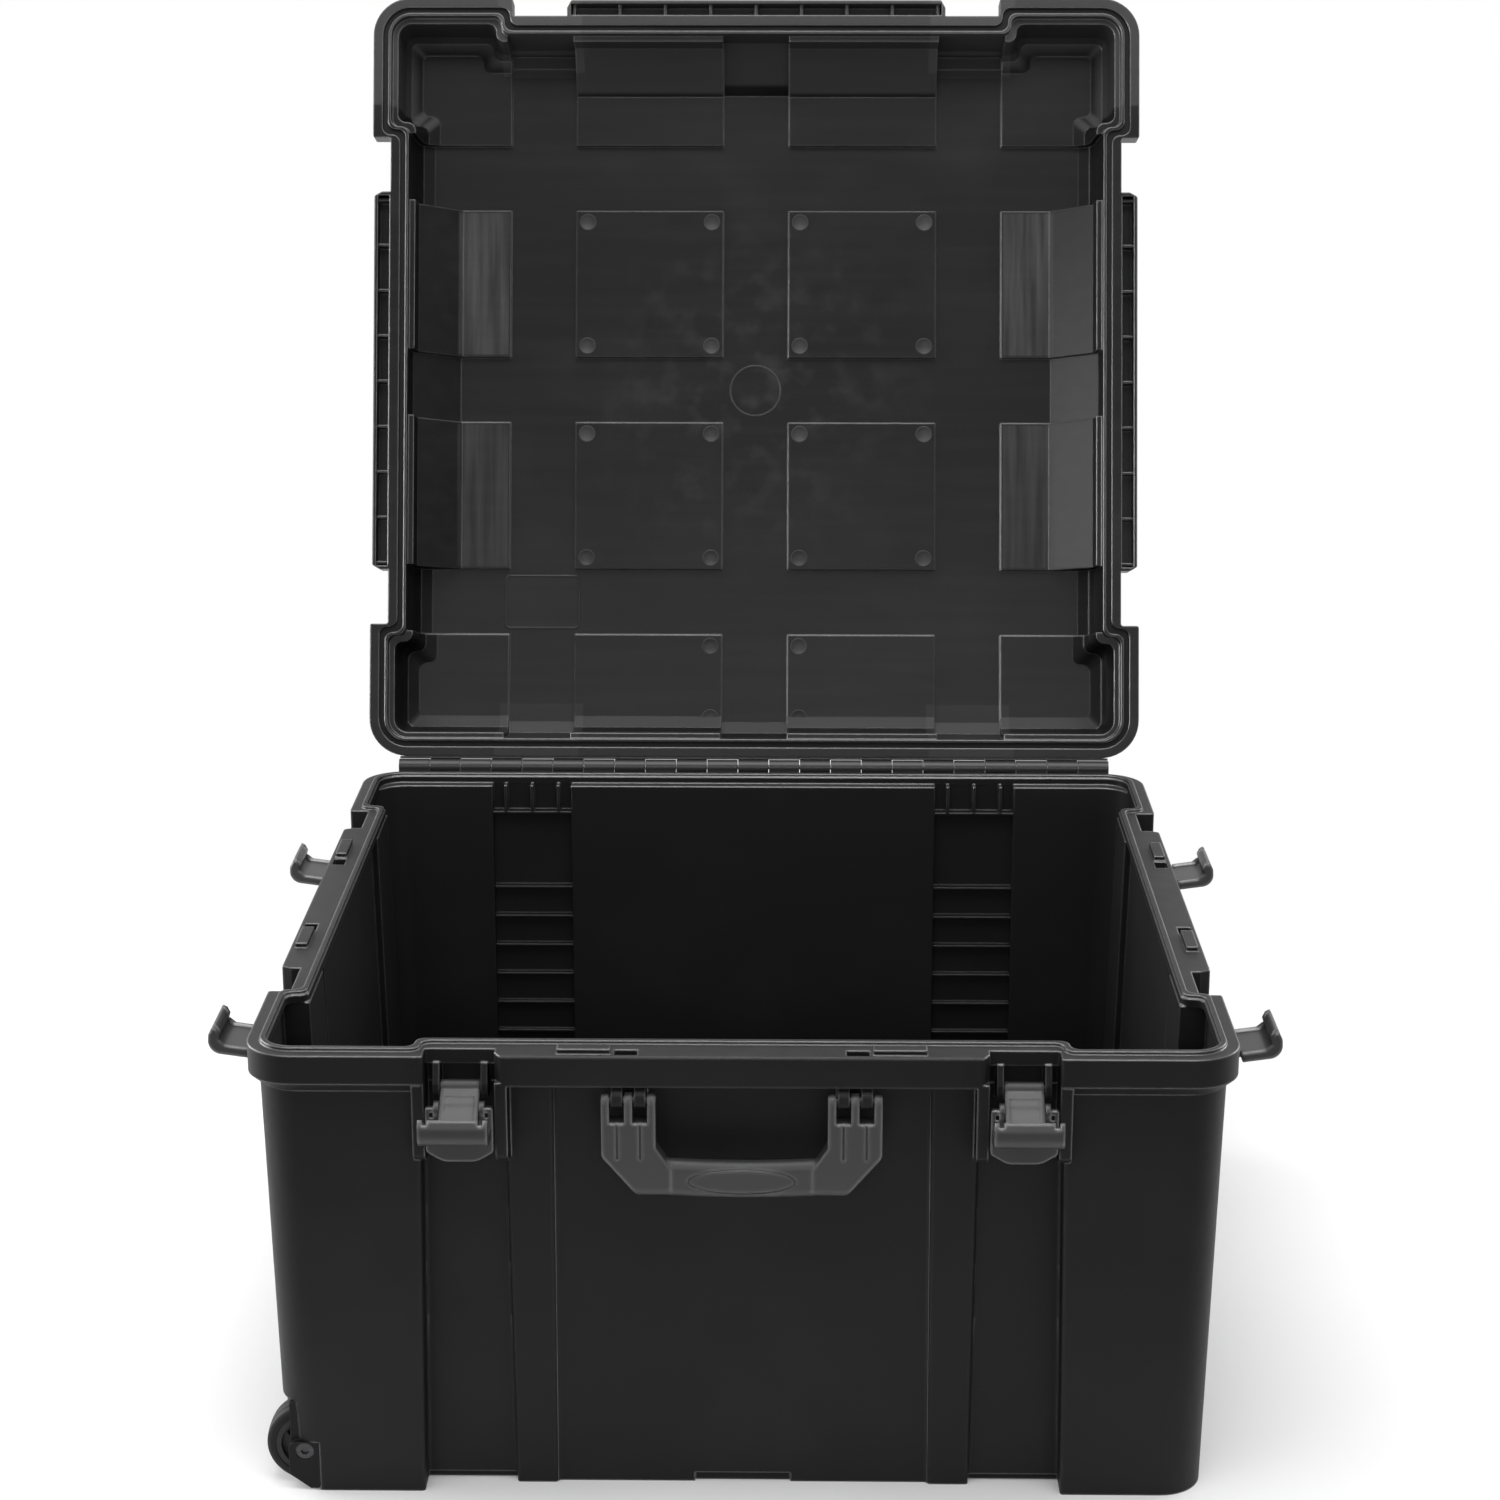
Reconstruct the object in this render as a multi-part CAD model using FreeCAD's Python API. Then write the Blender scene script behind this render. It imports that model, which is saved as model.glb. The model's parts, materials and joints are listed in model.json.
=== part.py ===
import FreeCAD, Part
import math
import os

V = FreeCAD.Vector
os.makedirs("parts", exist_ok=True)

# Millimetres. Origin at the centre of the base on the floor: X right, Y back, Z up, front at -Y.

# Case
WIDTH = 690.0
DEPTH = 684.0
RIM_Z = 342.0
LID_RISE = 70.0
LID_OPEN = 107.5
WALL = 4.5
FLOOR = 7.0
DRAFT = 7.0
CORNER_R = 34.0
STEP_R = 2.5
LATCH_S = min(WIDTH, DEPTH) / 2 - 147.0
LATCH_HALF = 24.5

# Rim of the tub and of the lid
INSET = 16.0
EAR_S = LATCH_S + LATCH_HALF
EAR_R = 2.0
SIDE_BACK = 3.8
BAND_H = 21.0
BAND_UNDER = 8.0
BODY_IN = {"front": 9.0, "right": 6.3, "left": 6.3}
RIM_W = 14.2
LEDGE = 6.0
BEAD_OUT = 9.0
BEAD_W = 4.0
BEAD_H = 2.6
BEAD_STEP = 3.0
BEAD_R = 7.5
LID_BAND = 20.5
LID_GAP = 0.4
LID_RIM_W = 16.0
GROOVE_SIDE = 0.4
GROOVE_H = 6.2
SEAL_H = 3.2
SEAL_SIDE = 0.1

# Steps of the front, left and right walls, measured from the corner columns
COLUMN_S = LATCH_S + 27.0
COLUMN_LEAN = 6.5
RIB_S = (LATCH_S - 64.0, LATCH_S - 29.5)
RIB_LEAN = 2.5
RECESS_IN = 20.0
RIB_IN = 14.0
MID_IN = 17.0
FOOT_RISE = 5.3
FOOT_IN = 3.0
NOTCH_W = 69.0
NOTCH_H = 7.0

# Inner channels of the back wall
BACK_IN = 10.0
CHANNEL_S = (LATCH_S - 38.0, LATCH_S + 41.0)
WEB_FIRST = 30.0
WEB_NEXT = 100.0
WEB_PITCH = 27.5
WEB_T = 2.5
GUSSETS = 3

# Guard rails with their tongues and slots
RAIL_H = 23.2
RAIL_GAP = 1.4
RAIL_TAPER = 4.0
TONGUE_S = LATCH_S - 86.0
TONGUE_L = 37.0
TONGUE_H = 4.0
SLOT_S = LATCH_S - 115.0
SLOT_L = 16.0
SLOT_W = 10.0
RAIL_WALL = 3.4
RAIL_TOP = 3.5
LID_CHANNEL = 10.4
LID_RIB_PITCH = 41.0
LID_RIB_T = 2.5
LID_RIB_IN = 5.0

# Lid bowl: the draft of its walls and its knee, as (distance in, distance over the floor)
BOWL_WALL = ((3.0, 13.0), (7.0, 4.5), (17.0, 0.0))
SLOPE_START = 30.0
SLOPE_W = (1.5, 42.0)
PAD_PITCH = LATCH_S
PAD = PAD_PITCH - 60.0
PAD_RAISE = 5.0
PAD_START = 8.0
KEEPER_H = 3.8
KEEPER_IN = 6.0

# Latches
POCKET_TOP = 11.0
POCKET_LOW = 80.0
GUARD_W = 8.5
GUARD_LOW = 81.0
PIN_A_U = 0.5
PIN_A_DOWN = 27.5
PIN_A_R = 2.0
PIN_B = (10.85, -13.65)
PIN_B_R = 1.75
BARREL_R = 4.5
LUG = (14.2, 19.0)
JAW_HALF = 23.75
JAW_TILT = 8.0
ARM_HALF = 13.5
ARM_DROP = 46.0
ARM_T = (1.9, 6.5)
ARM_PANEL = (10.5, 9.5, 31.0, 0.7)
CLAW_Z = (-29.1, -23.5)
CLAW_START = 29.0
CLAW_LIP = (51.4, -14.8)
CLAW_TIP = (57.5, -9.3)
CLAW_OUT = (59.6, -15.3)
CLAW_R = 10.0
CLAW_RIM = (2.0, 1.6)
CLAW_NOTCH = (17.2, 20.6, 3.7)
CHEEK = (13.9, 17.6)
CHEEK_R = 5.5
LEVER_HALF = 23.3
LEVER_L = 37.4
LEVER_T = 4.5
LEVER_UP = 2.2
LEVER_GAP = 10.0
LEVER_HOLE = (17.9, 20.2, 1.2, 4.8)

# Carry handle
HANDLE_W = 194.0
HANDLE_OPEN = 119.0
HANDLE_TOP = 28.0
HANDLE_LOW = 103.0
HANDLE_GRIP = 76.0
HANDLE_BOW = 2.2
HANDLE_U = (4.0, 18.0)
HANDLE_BACK = 1.0
HANDLE_CUT = (25.5, 30.0)
HAUNCH = (10.5, 9.5, 6.0)
HANDLE_PIN_DOWN = 33.0
HANDLE_PIN_R = 2.5
PRONG_SLOT = 10.4
PRONG_L = 20.0
HANDLE_LUG = 8.0
GROOVE_W = 1.6
GROOVE_L = 27.0
OVAL = (37.6, 9.6)
OVAL_LINE = 1.1

# Hinge
HINGE_L = WIDTH - 54.0
HINGE_N = 23
KNUCKLE_R = 6.5
ROD_R = 2.0
HINGE_OUT = 9.0
HINGE_UP = 2.5
LEAF_T = 2.0
LEAF_START = 8.0
LEAF_H = 11.0
KNUCKLE_GAP = 0.6

# Wheels
WHEEL_R = 29.5
WHEEL_W = 26.0
WHEEL_X = 30.3
WHEEL_LIFT = 1.0
AXLE_R = 4.0
AXLE_HEAD = 6.5
YOKE_T = 4.0
YOKE_HALF = 10.5
WHEEL_SIDE = 2.0
WHEEL_ROOM = 3.5
HOUSE_Y = 20.8
CUT_X = 41.0
CUT_H = 38.0
PAD_LOW = 1.5
PAD_CUT = ((17.0, 0.0), (10.5, 3.5), (0.0, 12.0))
SOCKET_R = 3.0

# Telescopic handle under the base
TUBE_Y = 88.0
TUBE_R = 9.0
TUBE_T = 1.4
STAGE_R = 7.2
STAGE_T = 1.2
TUBE_Z = 13.0
CHANNEL_HALF = 13.0
CHANNEL_H = 24.0
CHANNEL_WALL = 4.0
TUBE_X = (55.0 - WIDTH / 2, WIDTH / 2 - 47.0)
STAGE_X = TUBE_X[0] + 20.0
CLAMP_X = (TUBE_X[0] + 75.0, TUBE_X[1] - 73.0)
CLAMP_L = 24.0
CLAMP_SCREW_R = 1.4
GRIP_HALF = 106.0
GRIP_OUT = 1.5
GRIP_T = 15.0
GRIP_Z = (3.0, 25.0)
BUTTON = (36.0, 9.0)
BUTTON_UP = 1.6
BUTTON_FLANGE = 1.2
BUTTON_GAP = 0.35
SPRING_R = 3.0
SPRING_WIRE = 0.5
SPRING_TURNS = 5.0
SPRING_STEPS = 14

# Clearances
PIN_FIT = 0.03
TURN_FIT = 0.07
SEAT = 0.3

HALF_X = WIDTH / 2
HALF_Y = DEPTH / 2
FACE = {"front": HALF_Y - INSET, "right": HALF_X - INSET, "left": HALF_X - INSET}
TURN = {"front": 0.0, "right": 90.0, "left": -90.0}
LID_Z = RIM_Z + LID_GAP
HINGE_Y = HALF_Y + HINGE_OUT
HINGE_Z = RIM_Z + HINGE_UP
WHEEL_Z = WHEEL_R + WHEEL_LIFT
AXLE_X = -HALF_X + WHEEL_X


def unit(x, y):
    size = math.hypot(x, y)
    return x / size, y / size


def wire(points, to3d):
    """Closed wire of straight edges, each corner (a, b, r) rounded by its own radius."""
    corners = []
    count = len(points)
    for i, point in enumerate(points):
        a, b = point[0], point[1]
        r = point[2] if len(point) > 2 else 0.0
        if r <= 0:
            corners.append(((a, b), None, (a, b)))
            continue
        before, after = points[i - 1], points[(i + 1) % count]
        d1 = unit(before[0] - a, before[1] - b)
        d2 = unit(after[0] - a, after[1] - b)
        angle = math.acos(max(-1.0, min(1.0, d1[0] * d2[0] + d1[1] * d2[1])))
        run = r / math.tan(angle / 2)
        bis = unit(d1[0] + d2[0], d1[1] + d2[1])
        deep = r / math.sin(angle / 2) - r
        corners.append((
            (a + d1[0] * run, b + d1[1] * run),
            (a + bis[0] * deep, b + bis[1] * deep),
            (a + d2[0] * run, b + d2[1] * run),
        ))
    edges = []
    for i, (start, mid, end) in enumerate(corners):
        if mid:
            edges.append(Part.Arc(to3d(*start), to3d(*mid), to3d(*end)).toShape())
        ahead = corners[(i + 1) % count][0]
        if math.dist(end, ahead) > 1e-6:
            edges.append(Part.makeLine(to3d(*end), to3d(*ahead)))
    return Part.Wire(edges)


def level(z):
    return lambda a, b: V(a, b, z)


def prism(points, z0, z1):
    return Part.Face(wire(points, level(z0))).extrude(V(0, 0, z1 - z0))


def taper(low, z0, high, z1):
    """Solid between two outlines of the same kind at two heights."""
    return Part.makeLoft([wire(low, level(z0)), wire(high, level(z1))], True, True)


def bar(profile, s0, s1):
    """Profile in (u outward, z up) run along a side from s0 to s1, in the front side's place."""
    return Part.Face(wire(profile, lambda u, z: V(s0, -u, z))).extrude(V(s1 - s0, 0, 0))


def plate(profile, u0, u1):
    """Profile in (s, z) as seen from outside, from u0 out to u1, in the front side's place."""
    return Part.Face(wire(profile, lambda s, z: V(s, -u0, z))).extrude(V(0, u0 - u1, 0))


def box(x0, x1, y0, y1, z0, z1):
    return Part.makeBox(x1 - x0, y1 - y0, z1 - z0, V(x0, y0, z0))


def rod(radius, start, along, length):
    return Part.makeCylinder(radius, length, start, along)


def put(shape, side):
    """Move a shape made at the front side's face to the named side."""
    moved = shape.copy()
    moved.translate(V(0, -FACE[side], 0))
    moved.rotate(V(0, 0, 0), V(0, 0, 1), TURN[side])
    if side != "front":
        moved.translate(V(0, SIDE_BACK, 0))
    return moved


def inset(points, t, sharp=False):
    """Outline moved inward by t; only large corners change radius, small ones can turn sharp."""
    count = len(points)
    lines = []
    for i in range(count):
        a, b = points[i], points[(i + 1) % count]
        d = unit(b[0] - a[0], b[1] - a[1])
        lines.append((a[0] - d[1] * t, a[1] + d[0] * t, d[0], d[1]))
    result = []
    for i in range(count):
        x1, y1, p, q = lines[i - 1]
        x2, y2, m, n = lines[i]
        cross = p * n - q * m
        k = ((x2 - x1) * n - (y2 - y1) * m) / cross
        r = points[i][2]
        if r > 12:
            r = max(r - t if cross > 0 else r + t, 6.0)
        elif sharp:
            r = 0.0
        result.append((x1 + p * k, y1 + q * k, r))
    return result


def ring(front, right, back, left, steps, radius):
    """Outline from the four side distances and the (s, u, r) steps of each side."""
    sides = (
        (lambda s, u: (s, -u), (-left, -front)),
        (lambda s, u: (u, s + SIDE_BACK), (right, -front)),
        (lambda s, u: (-s, u), (right, back)),
        (lambda s, u: (-u, SIDE_BACK - s), (-left, back)),
    )
    points = []
    for (place, corner), side in zip(sides, steps):
        points.append((corner[0], corner[1], radius))
        points.extend((*place(s, u), r) for s, u, r in side)
    return points


def mirrored(steps):
    return steps + [(-s, u, r) for s, u, r in reversed(steps)]


def ear_line(deep, s, radius):
    """Outline that runs a distance inside the rim and steps in beside each ear."""
    x, y = HALF_X - deep, HALF_Y - deep

    def side(half):
        return mirrored([(-s, half, radius), (-s, half - INSET, radius)])

    return ring(y, x, y, x, (side(y), side(x), [], side(x)), CORNER_R - deep)


def rim_outline():
    return ear_line(0.0, EAR_S, EAR_R)


def seal_line(t):
    """Outline of the seal bead's outer edge, moved inward by t, with softly bent steps."""
    return inset(ear_line(BEAD_OUT, EAR_S + BEAD_STEP, BEAD_R), t)


def body_outline(z):
    """Outer outline of the tub's wall at a height: it draws in towards the base."""
    k = (RIM_Z - z) / RIM_Z
    u_x = HALF_X - BODY_IN["right"] - DRAFT * k
    u_y = HALF_Y - BODY_IN["front"] - DRAFT * k
    column = COLUMN_S + COLUMN_LEAN * k
    low, high = RIB_S[0] + RIB_LEAN * k, RIB_S[1] - RIB_LEAN * k

    def side(u):
        stops = (
            (column, 0.0), (column, RECESS_IN), (high, RECESS_IN),
            (high, RIB_IN), (low, RIB_IN), (low, MID_IN),
        )
        return mirrored([(-s, u - deep, STEP_R) for s, deep in stops])

    back = u_y - BACK_IN
    stops = ((CHANNEL_S[1], 0.0), (CHANNEL_S[1], BACK_IN), (CHANNEL_S[0], BACK_IN), (CHANNEL_S[0], 0.0))
    rear = mirrored([(-s, back + out, STEP_R) for s, out in stops])
    return ring(u_y, u_x, back, u_x, (side(u_y), side(u_x), rear, side(u_x)), CORNER_R - STEP_R)


def fit_hole(radius, start, along, length, fit):
    return rod(radius + fit, start, along, length)


# Tub

def wheel_house():
    """Room for one wheel in the front left corner: the cut itself and the block round it."""
    y0 = -HALF_Y + HOUSE_Y
    y1 = y0 + 2 * YOKE_T + 2 * WHEEL_SIDE + WHEEL_W
    x1 = AXLE_X + WHEEL_R + WHEEL_ROOM + YOKE_T
    z1 = WHEEL_Z + WHEEL_R + WHEEL_ROOM + YOKE_T
    room = box(-HALF_X - 1, x1, y0, y1, -1, z1)
    block = box(-HALF_X - 1, x1 + WALL, -HALF_Y - 1, y1 + WALL, -1, z1 + WALL)
    cut = box(-HALF_X - 1, -HALF_X + CUT_X, -HALF_Y - 1, y0 + 0.5, -1, CUT_H)
    return room.fuse(cut), block, (y0, y1, z1)


def both_ends(shape):
    return [shape, shape.mirror(V(0, 0, 0), V(0, 1, 0))]


def rail_profile(z0, z1):
    return [(-2.0, z0), (INSET - RAIL_GAP, z0, 1.5), (INSET - RAIL_GAP, z1, 1.5), (-2.0, z1)]


def rail_half():
    return LATCH_S - LATCH_HALF


def rail_body(z0, z1):
    """Guard rail with ends that slope in plan towards its outer face."""
    half, outer = rail_half(), INSET - RAIL_GAP
    plan = [
        (-half, 2.0), (-half, -outer / 2), (-half + RAIL_TAPER, -outer, 3),
        (half - RAIL_TAPER, -outer, 3), (half, -outer / 2), (half, 2.0),
    ]
    return bar(rail_profile(z0, z1), -half, half).common(prism(plan, z0 - 1, z1 + 1))


def tub_rail():
    body = rail_body(RIM_Z - RAIL_H, RIM_Z)
    mid = (INSET - RAIL_GAP - RAIL_WALL + lid_channel_in()) / 2
    for sign in (-1, 1):
        tongue = box(
            sign * TONGUE_S - TONGUE_L / 2, sign * TONGUE_S + TONGUE_L / 2,
            -mid - tongue_width() / 2, -mid + tongue_width() / 2, RIM_Z - 1, RIM_Z + TONGUE_H,
        )
        slot = box(
            sign * SLOT_S - SLOT_L / 2, sign * SLOT_S + SLOT_L / 2,
            -mid - SLOT_W / 2, -mid + SLOT_W / 2, RIM_Z - RAIL_H - 1, RIM_Z + 1,
        )
        body = body.fuse(tongue).cut(slot)
    return body


def lid_channel_in():
    return INSET - RAIL_GAP - RAIL_WALL - LID_CHANNEL


def tongue_width():
    return LID_CHANNEL - 1.4


def recess_deep(side):
    """How far the floor of a latch recess lies behind the face of its side."""
    return BODY_IN[side] + RECESS_IN - INSET


def guard_rib(sign, side):
    """Rib beside a latch pocket, sloping back to the wall at its lower end."""
    s0 = LATCH_HALF if sign > 0 else -LATCH_HALF - GUARD_W
    deep = recess_deep(side) + WALL / 2
    outer = INSET - RAIL_GAP
    low = RIM_Z - GUARD_LOW
    profile = [
        (-deep, low - 4), (outer - 9, low, 3), (outer, low + 6, 3),
        (outer, RIM_Z - BAND_H + 1), (-deep, RIM_Z - BAND_H + 1),
    ]
    return bar(profile, s0, s0 + GUARD_W)


def latch_lugs(side):
    """Two lugs that carry the claw's pin, hanging from the pocket's ceiling."""
    deep = recess_deep(side) + WALL / 2
    z = RIM_Z - PIN_A_DOWN
    profile = [
        (-deep, RIM_Z - POCKET_TOP + 1), (PIN_A_U + 0.5, RIM_Z - POCKET_TOP + 1),
        (PIN_A_U + 1.5, RIM_Z - POCKET_TOP - 3), (PIN_A_U + 5.0, z + 3, 2),
        (PIN_A_U + 5.0, z - 4.5, 3), (PIN_A_U - 1.0, z - 9, 3), (-deep, z - 12),
    ]
    return [bar(profile, min(a, b), max(a, b)) for a, b in ((LUG[0], LUG[1]), (-LUG[0], -LUG[1]))]


def latch_pocket(side):
    low, top = RIM_Z - POCKET_LOW, RIM_Z - POCKET_TOP
    return box(-LATCH_HALF, LATCH_HALF, -INSET - 2, recess_deep(side), low, top)


def stations():
    """Every latch place: name, side, distance along the side."""
    ends = {"front": ("left", "right"), "right": ("front", "back"), "left": ("back", "front")}
    return [
        (f"{side}_{end}", side, sign * LATCH_S)
        for side in ends for end, sign in zip(ends[side], (-1, 1))
    ]


def at(shape, s):
    moved = shape.copy()
    moved.translate(V(s, 0, 0))
    return moved


def prong_slots():
    """Middles of the two slots in each handle arm, for the arm at +s."""
    prong = ((HANDLE_W - HANDLE_OPEN) / 2 - 2 * PRONG_SLOT) / 3
    first = HANDLE_OPEN / 2 + prong + PRONG_SLOT / 2
    return first, first + prong + PRONG_SLOT


def handle_pin_u():
    return (HANDLE_U[0] + HANDLE_U[1]) / 2


def handle_lugs():
    deep = BODY_IN["front"] + MID_IN - INSET + WALL / 2
    u, z = handle_pin_u(), RIM_Z - HANDLE_PIN_DOWN
    under = RIM_Z - BAND_H + 1
    profile = [
        (-deep, under), (u - 6, under), (u + 5.5, z + 5, 3), (u + 5.5, z - 3, 4),
        (u - 1, z - 7, 4), (-deep, z - 13),
    ]
    lugs = []
    for middle in prong_slots():
        for sign in (-1, 1):
            s = sign * middle
            lugs.append(bar(profile, s - HANDLE_LUG / 2, s + HANDLE_LUG / 2))
    return lugs


def tube_channels(outer):
    """Tunnels for the pull handle's tubes, or the ridges round them inside the tub."""
    grow = CHANNEL_WALL if outer else 0.0
    half = CHANNEL_HALF + grow
    start = TUBE_X[0] - 5.0 - grow
    return [
        box(start, HALF_X, sign * TUBE_Y - half, sign * TUBE_Y + half, -1, CHANNEL_H + grow)
        for sign in (-1, 1)
    ]


def clamp_screws():
    """Places of the clamp screws, two on each clamp, on opposite sides of its tube."""
    reach = (TUBE_R + CHANNEL_HALF) / 2 + 0.2
    spots = []
    for x in CLAMP_X:
        for sign in (-1, 1):
            for side in (-1, 1):
                spots.append((x + side * CLAMP_L / 4, sign * TUBE_Y + side * reach))
    return spots


def channel_webs():
    """Ladder of webs, with gussets above the first, across the back wall's inner channels."""
    y0 = HALF_Y - BODY_IN["front"] - BACK_IN - WALL + 1.0
    s0, s1 = CHANNEL_S[0] + WALL, CHANNEL_S[1] - WALL
    drops = [WEB_FIRST]
    drop = WEB_NEXT
    while drop < RIM_Z - FLOOR - WEB_PITCH / 2:
        drops.append(drop)
        drop += WEB_PITCH
    webs = []
    for sign in (-1, 1):
        x0, x1 = sorted((sign * s0, sign * s1))
        for drop in drops:
            webs.append(box(x0 - 1, x1 + 1, y0, HALF_Y, RIM_Z - drop - WEB_T, RIM_Z - drop))
        for i in range(GUSSETS):
            x = x0 + (x1 - x0) * (i + 0.5) / GUSSETS
            webs.append(box(x - WEB_T / 2, x + WEB_T / 2, y0, HALF_Y, RIM_Z - WEB_FIRST - 0.5, RIM_Z))
    return webs


def tub_shell():
    rim = rim_outline()
    band_z = RIM_Z - BAND_H
    ledge_z = RIM_Z - LEDGE
    shell = taper(body_outline(0), 0, body_outline(band_z + 1), band_z + 1)
    under = taper(inset(rim, BODY_IN["front"]), band_z - BAND_UNDER, rim, band_z)
    band = prism(rim, band_z, RIM_Z)
    bead = prism(seal_line(0.0), RIM_Z - 1, RIM_Z + BEAD_H)
    added = [under, band, bead]
    pockets = []
    for side in FACE:
        added.append(put(tub_rail(), side))
    for _, side, s in stations():
        pockets.append(put(at(latch_pocket(side), s), side))
    shell = shell.fuse(added).cut(pockets)
    fittings = [put(lug, "front") for lug in handle_lugs()]
    for _, side, s in stations():
        fittings += [put(at(guard_rib(sign, side), s), side) for sign in (-1, 1)]
        fittings += [put(at(lug, s), side) for lug in latch_lugs(side)]
    shell = shell.fuse(fittings)

    room, block, (y0, y1, z1) = wheel_house()
    inner = taper(
        inset(body_outline(FLOOR), WALL, True), FLOOR, inset(body_outline(ledge_z), WALL, True), ledge_z,
    )
    inner = inner.cut(both_ends(block) + tube_channels(True) + channel_webs())
    mouth = prism(seal_line(RIM_W - BEAD_OUT), ledge_z - 0.01, RIM_Z)
    throat = prism(seal_line(BEAD_W), RIM_Z - 0.01, RIM_Z + BEAD_H + 1)
    cuts = [inner, mouth, throat] + both_ends(room) + tube_channels(False)

    for _, side, s in stations():
        foot = recess_deep(side) + DRAFT + FOOT_IN
        low = RIB_S[1] - RIB_LEAN
        high = COLUMN_S + COLUMN_LEAN
        first = low if s > 0 else -high
        cuts.append(put(box(first, first + high - low, -INSET, foot, -1, FOOT_RISE), side))
    mid = BODY_IN["front"] + DRAFT + MID_IN - INSET + FOOT_IN
    cuts.append(put(box(-NOTCH_W / 2, NOTCH_W / 2, -INSET, mid, -1, NOTCH_H), "front"))

    for _, side, s in stations():
        cuts.append(put(at(pin_a_bar(PIN_FIT, 1.0), s), side))
    for sign in (-1, 1):
        cuts.append(put(handle_pin(sign, PIN_FIT, 1.0), "front"))
    for axle in axle_holes(y1):
        cuts.append(axle)
    for x, y in clamp_screws():
        cuts.append(rod(CLAMP_SCREW_R + PIN_FIT, V(x, y, 0), V(0, 0, 1), CHANNEL_H + CHANNEL_WALL - 0.8))
    for x in leaf_screw_places(0):
        cuts.append(leaf_screw(x, RIM_Z - screw_down(), PIN_FIT))
    return shell.cut(cuts).removeSplitter()


def axle_holes(y1):
    hole = rod(AXLE_R + PIN_FIT, V(AXLE_X, y1 - 1, WHEEL_Z), V(0, 1, 0), WALL)
    return both_ends(hole)


# Latch pieces, in the latch's own place at the front side

def pin_a_bar(fit, more):
    half = LUG[1] + more
    return rod(PIN_A_R + fit, V(-half, -PIN_A_U, RIM_Z - PIN_A_DOWN), V(1, 0, 0), 2 * half)


def swing(shape):
    """Turn a piece made in the claw's frame (a outward, b up) to its rest tilt on its pin."""
    moved = shape.copy()
    moved.rotate(V(0, 0, 0), V(1, 0, 0), -JAW_TILT)
    moved.translate(V(0, -PIN_A_U, RIM_Z - PIN_A_DOWN))
    return moved


def arm_point(along, up):
    """Point of the claw's arm: a distance down the arm and a height over the pin's middle."""
    drop = math.radians(ARM_DROP)
    return (
        along * math.cos(drop) + up * math.sin(drop),
        -along * math.sin(drop) + up * math.cos(drop),
    )


def arm_meets(up, b):
    """Where a face of the arm, at a height over the pin's middle, comes down to height b."""
    drop = math.radians(ARM_DROP)
    return arm_point((up * math.cos(drop) - b) / math.sin(drop), up)


def jaw():
    """Claw: an arm that drops from the pin to a wide plate, whose end curls up into a hooked lip."""
    low, top = CLAW_Z
    up, thick = ARM_T
    lip, tip, out = CLAW_LIP, CLAW_TIP, CLAW_OUT
    arm = bar([
        arm_point(0.0, up), (*arm_meets(up, top), 3), (CLAW_START + 1, top), (CLAW_START + 1, low),
        (*arm_meets(up - thick, low), 5), arm_point(0.0, up - thick),
    ], -ARM_HALF, ARM_HALF)
    barrel = rod(BARREL_R, V(-ARM_HALF, 0, 0), V(1, 0, 0), 2 * ARM_HALF)
    head = bar([
        (CLAW_START, top, 1), (lip[0] + 1.2, top, 5), (*lip, 0.8), (tip[0] - 3.5, tip[1] - 1.5, 0.8),
        (*tip, 1.0), (*out, 3), (out[0] - 1.0, low, CLAW_R), (CLAW_START, low, 1),
    ], -JAW_HALF, JAW_HALF)
    wide, rise = CLAW_RIM
    edge = [
        (CLAW_START, top - 1), (CLAW_START, top + rise, 1), (lip[0] - 5, top + rise),
        (lip[0], top + 3 * rise), (out[0] - 3, top - 1),
    ]
    rims = [bar(edge, s, s + wide) for s in (-JAW_HALF, JAW_HALF - wide)]
    body = arm.fuse([barrel, head] + rims)

    half, t0, t1, deep = ARM_PANEL
    ends = ((t0, up + 1), (t1, up + 1), (t1, up - deep), (t0, up - deep))
    cuts = [bar([arm_point(t, h) for t, h in ends], -half, half)]
    s0, s1, cut = CLAW_NOTCH
    for a, b in ((s0, s1), (-s1, -s0)):
        cuts.append(box(a, b, -out[0], -lip[0] + 1, tip[1] - cut, tip[1] + 1))
    for radius, (a, b) in ((PIN_A_R + TURN_FIT, (0.0, 0.0)), (PIN_B_R + PIN_FIT, PIN_B)):
        cuts.append(rod(radius, V(-JAW_HALF, -a, b), V(1, 0, 0), 2 * JAW_HALF))
    return body.cut(cuts).removeSplitter()


def pin_b():
    return swing(rod(PIN_B_R, V(-CHEEK[1], -PIN_B[0], PIN_B[1]), V(1, 0, 0), 2 * CHEEK[1]))


def pin_b_place():
    t = math.radians(JAW_TILT)
    out = PIN_B[0] * math.cos(t) - PIN_B[1] * math.sin(t)
    up = PIN_B[0] * math.sin(t) + PIN_B[1] * math.cos(t)
    return PIN_A_U + out, RIM_Z - PIN_A_DOWN + up


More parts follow.
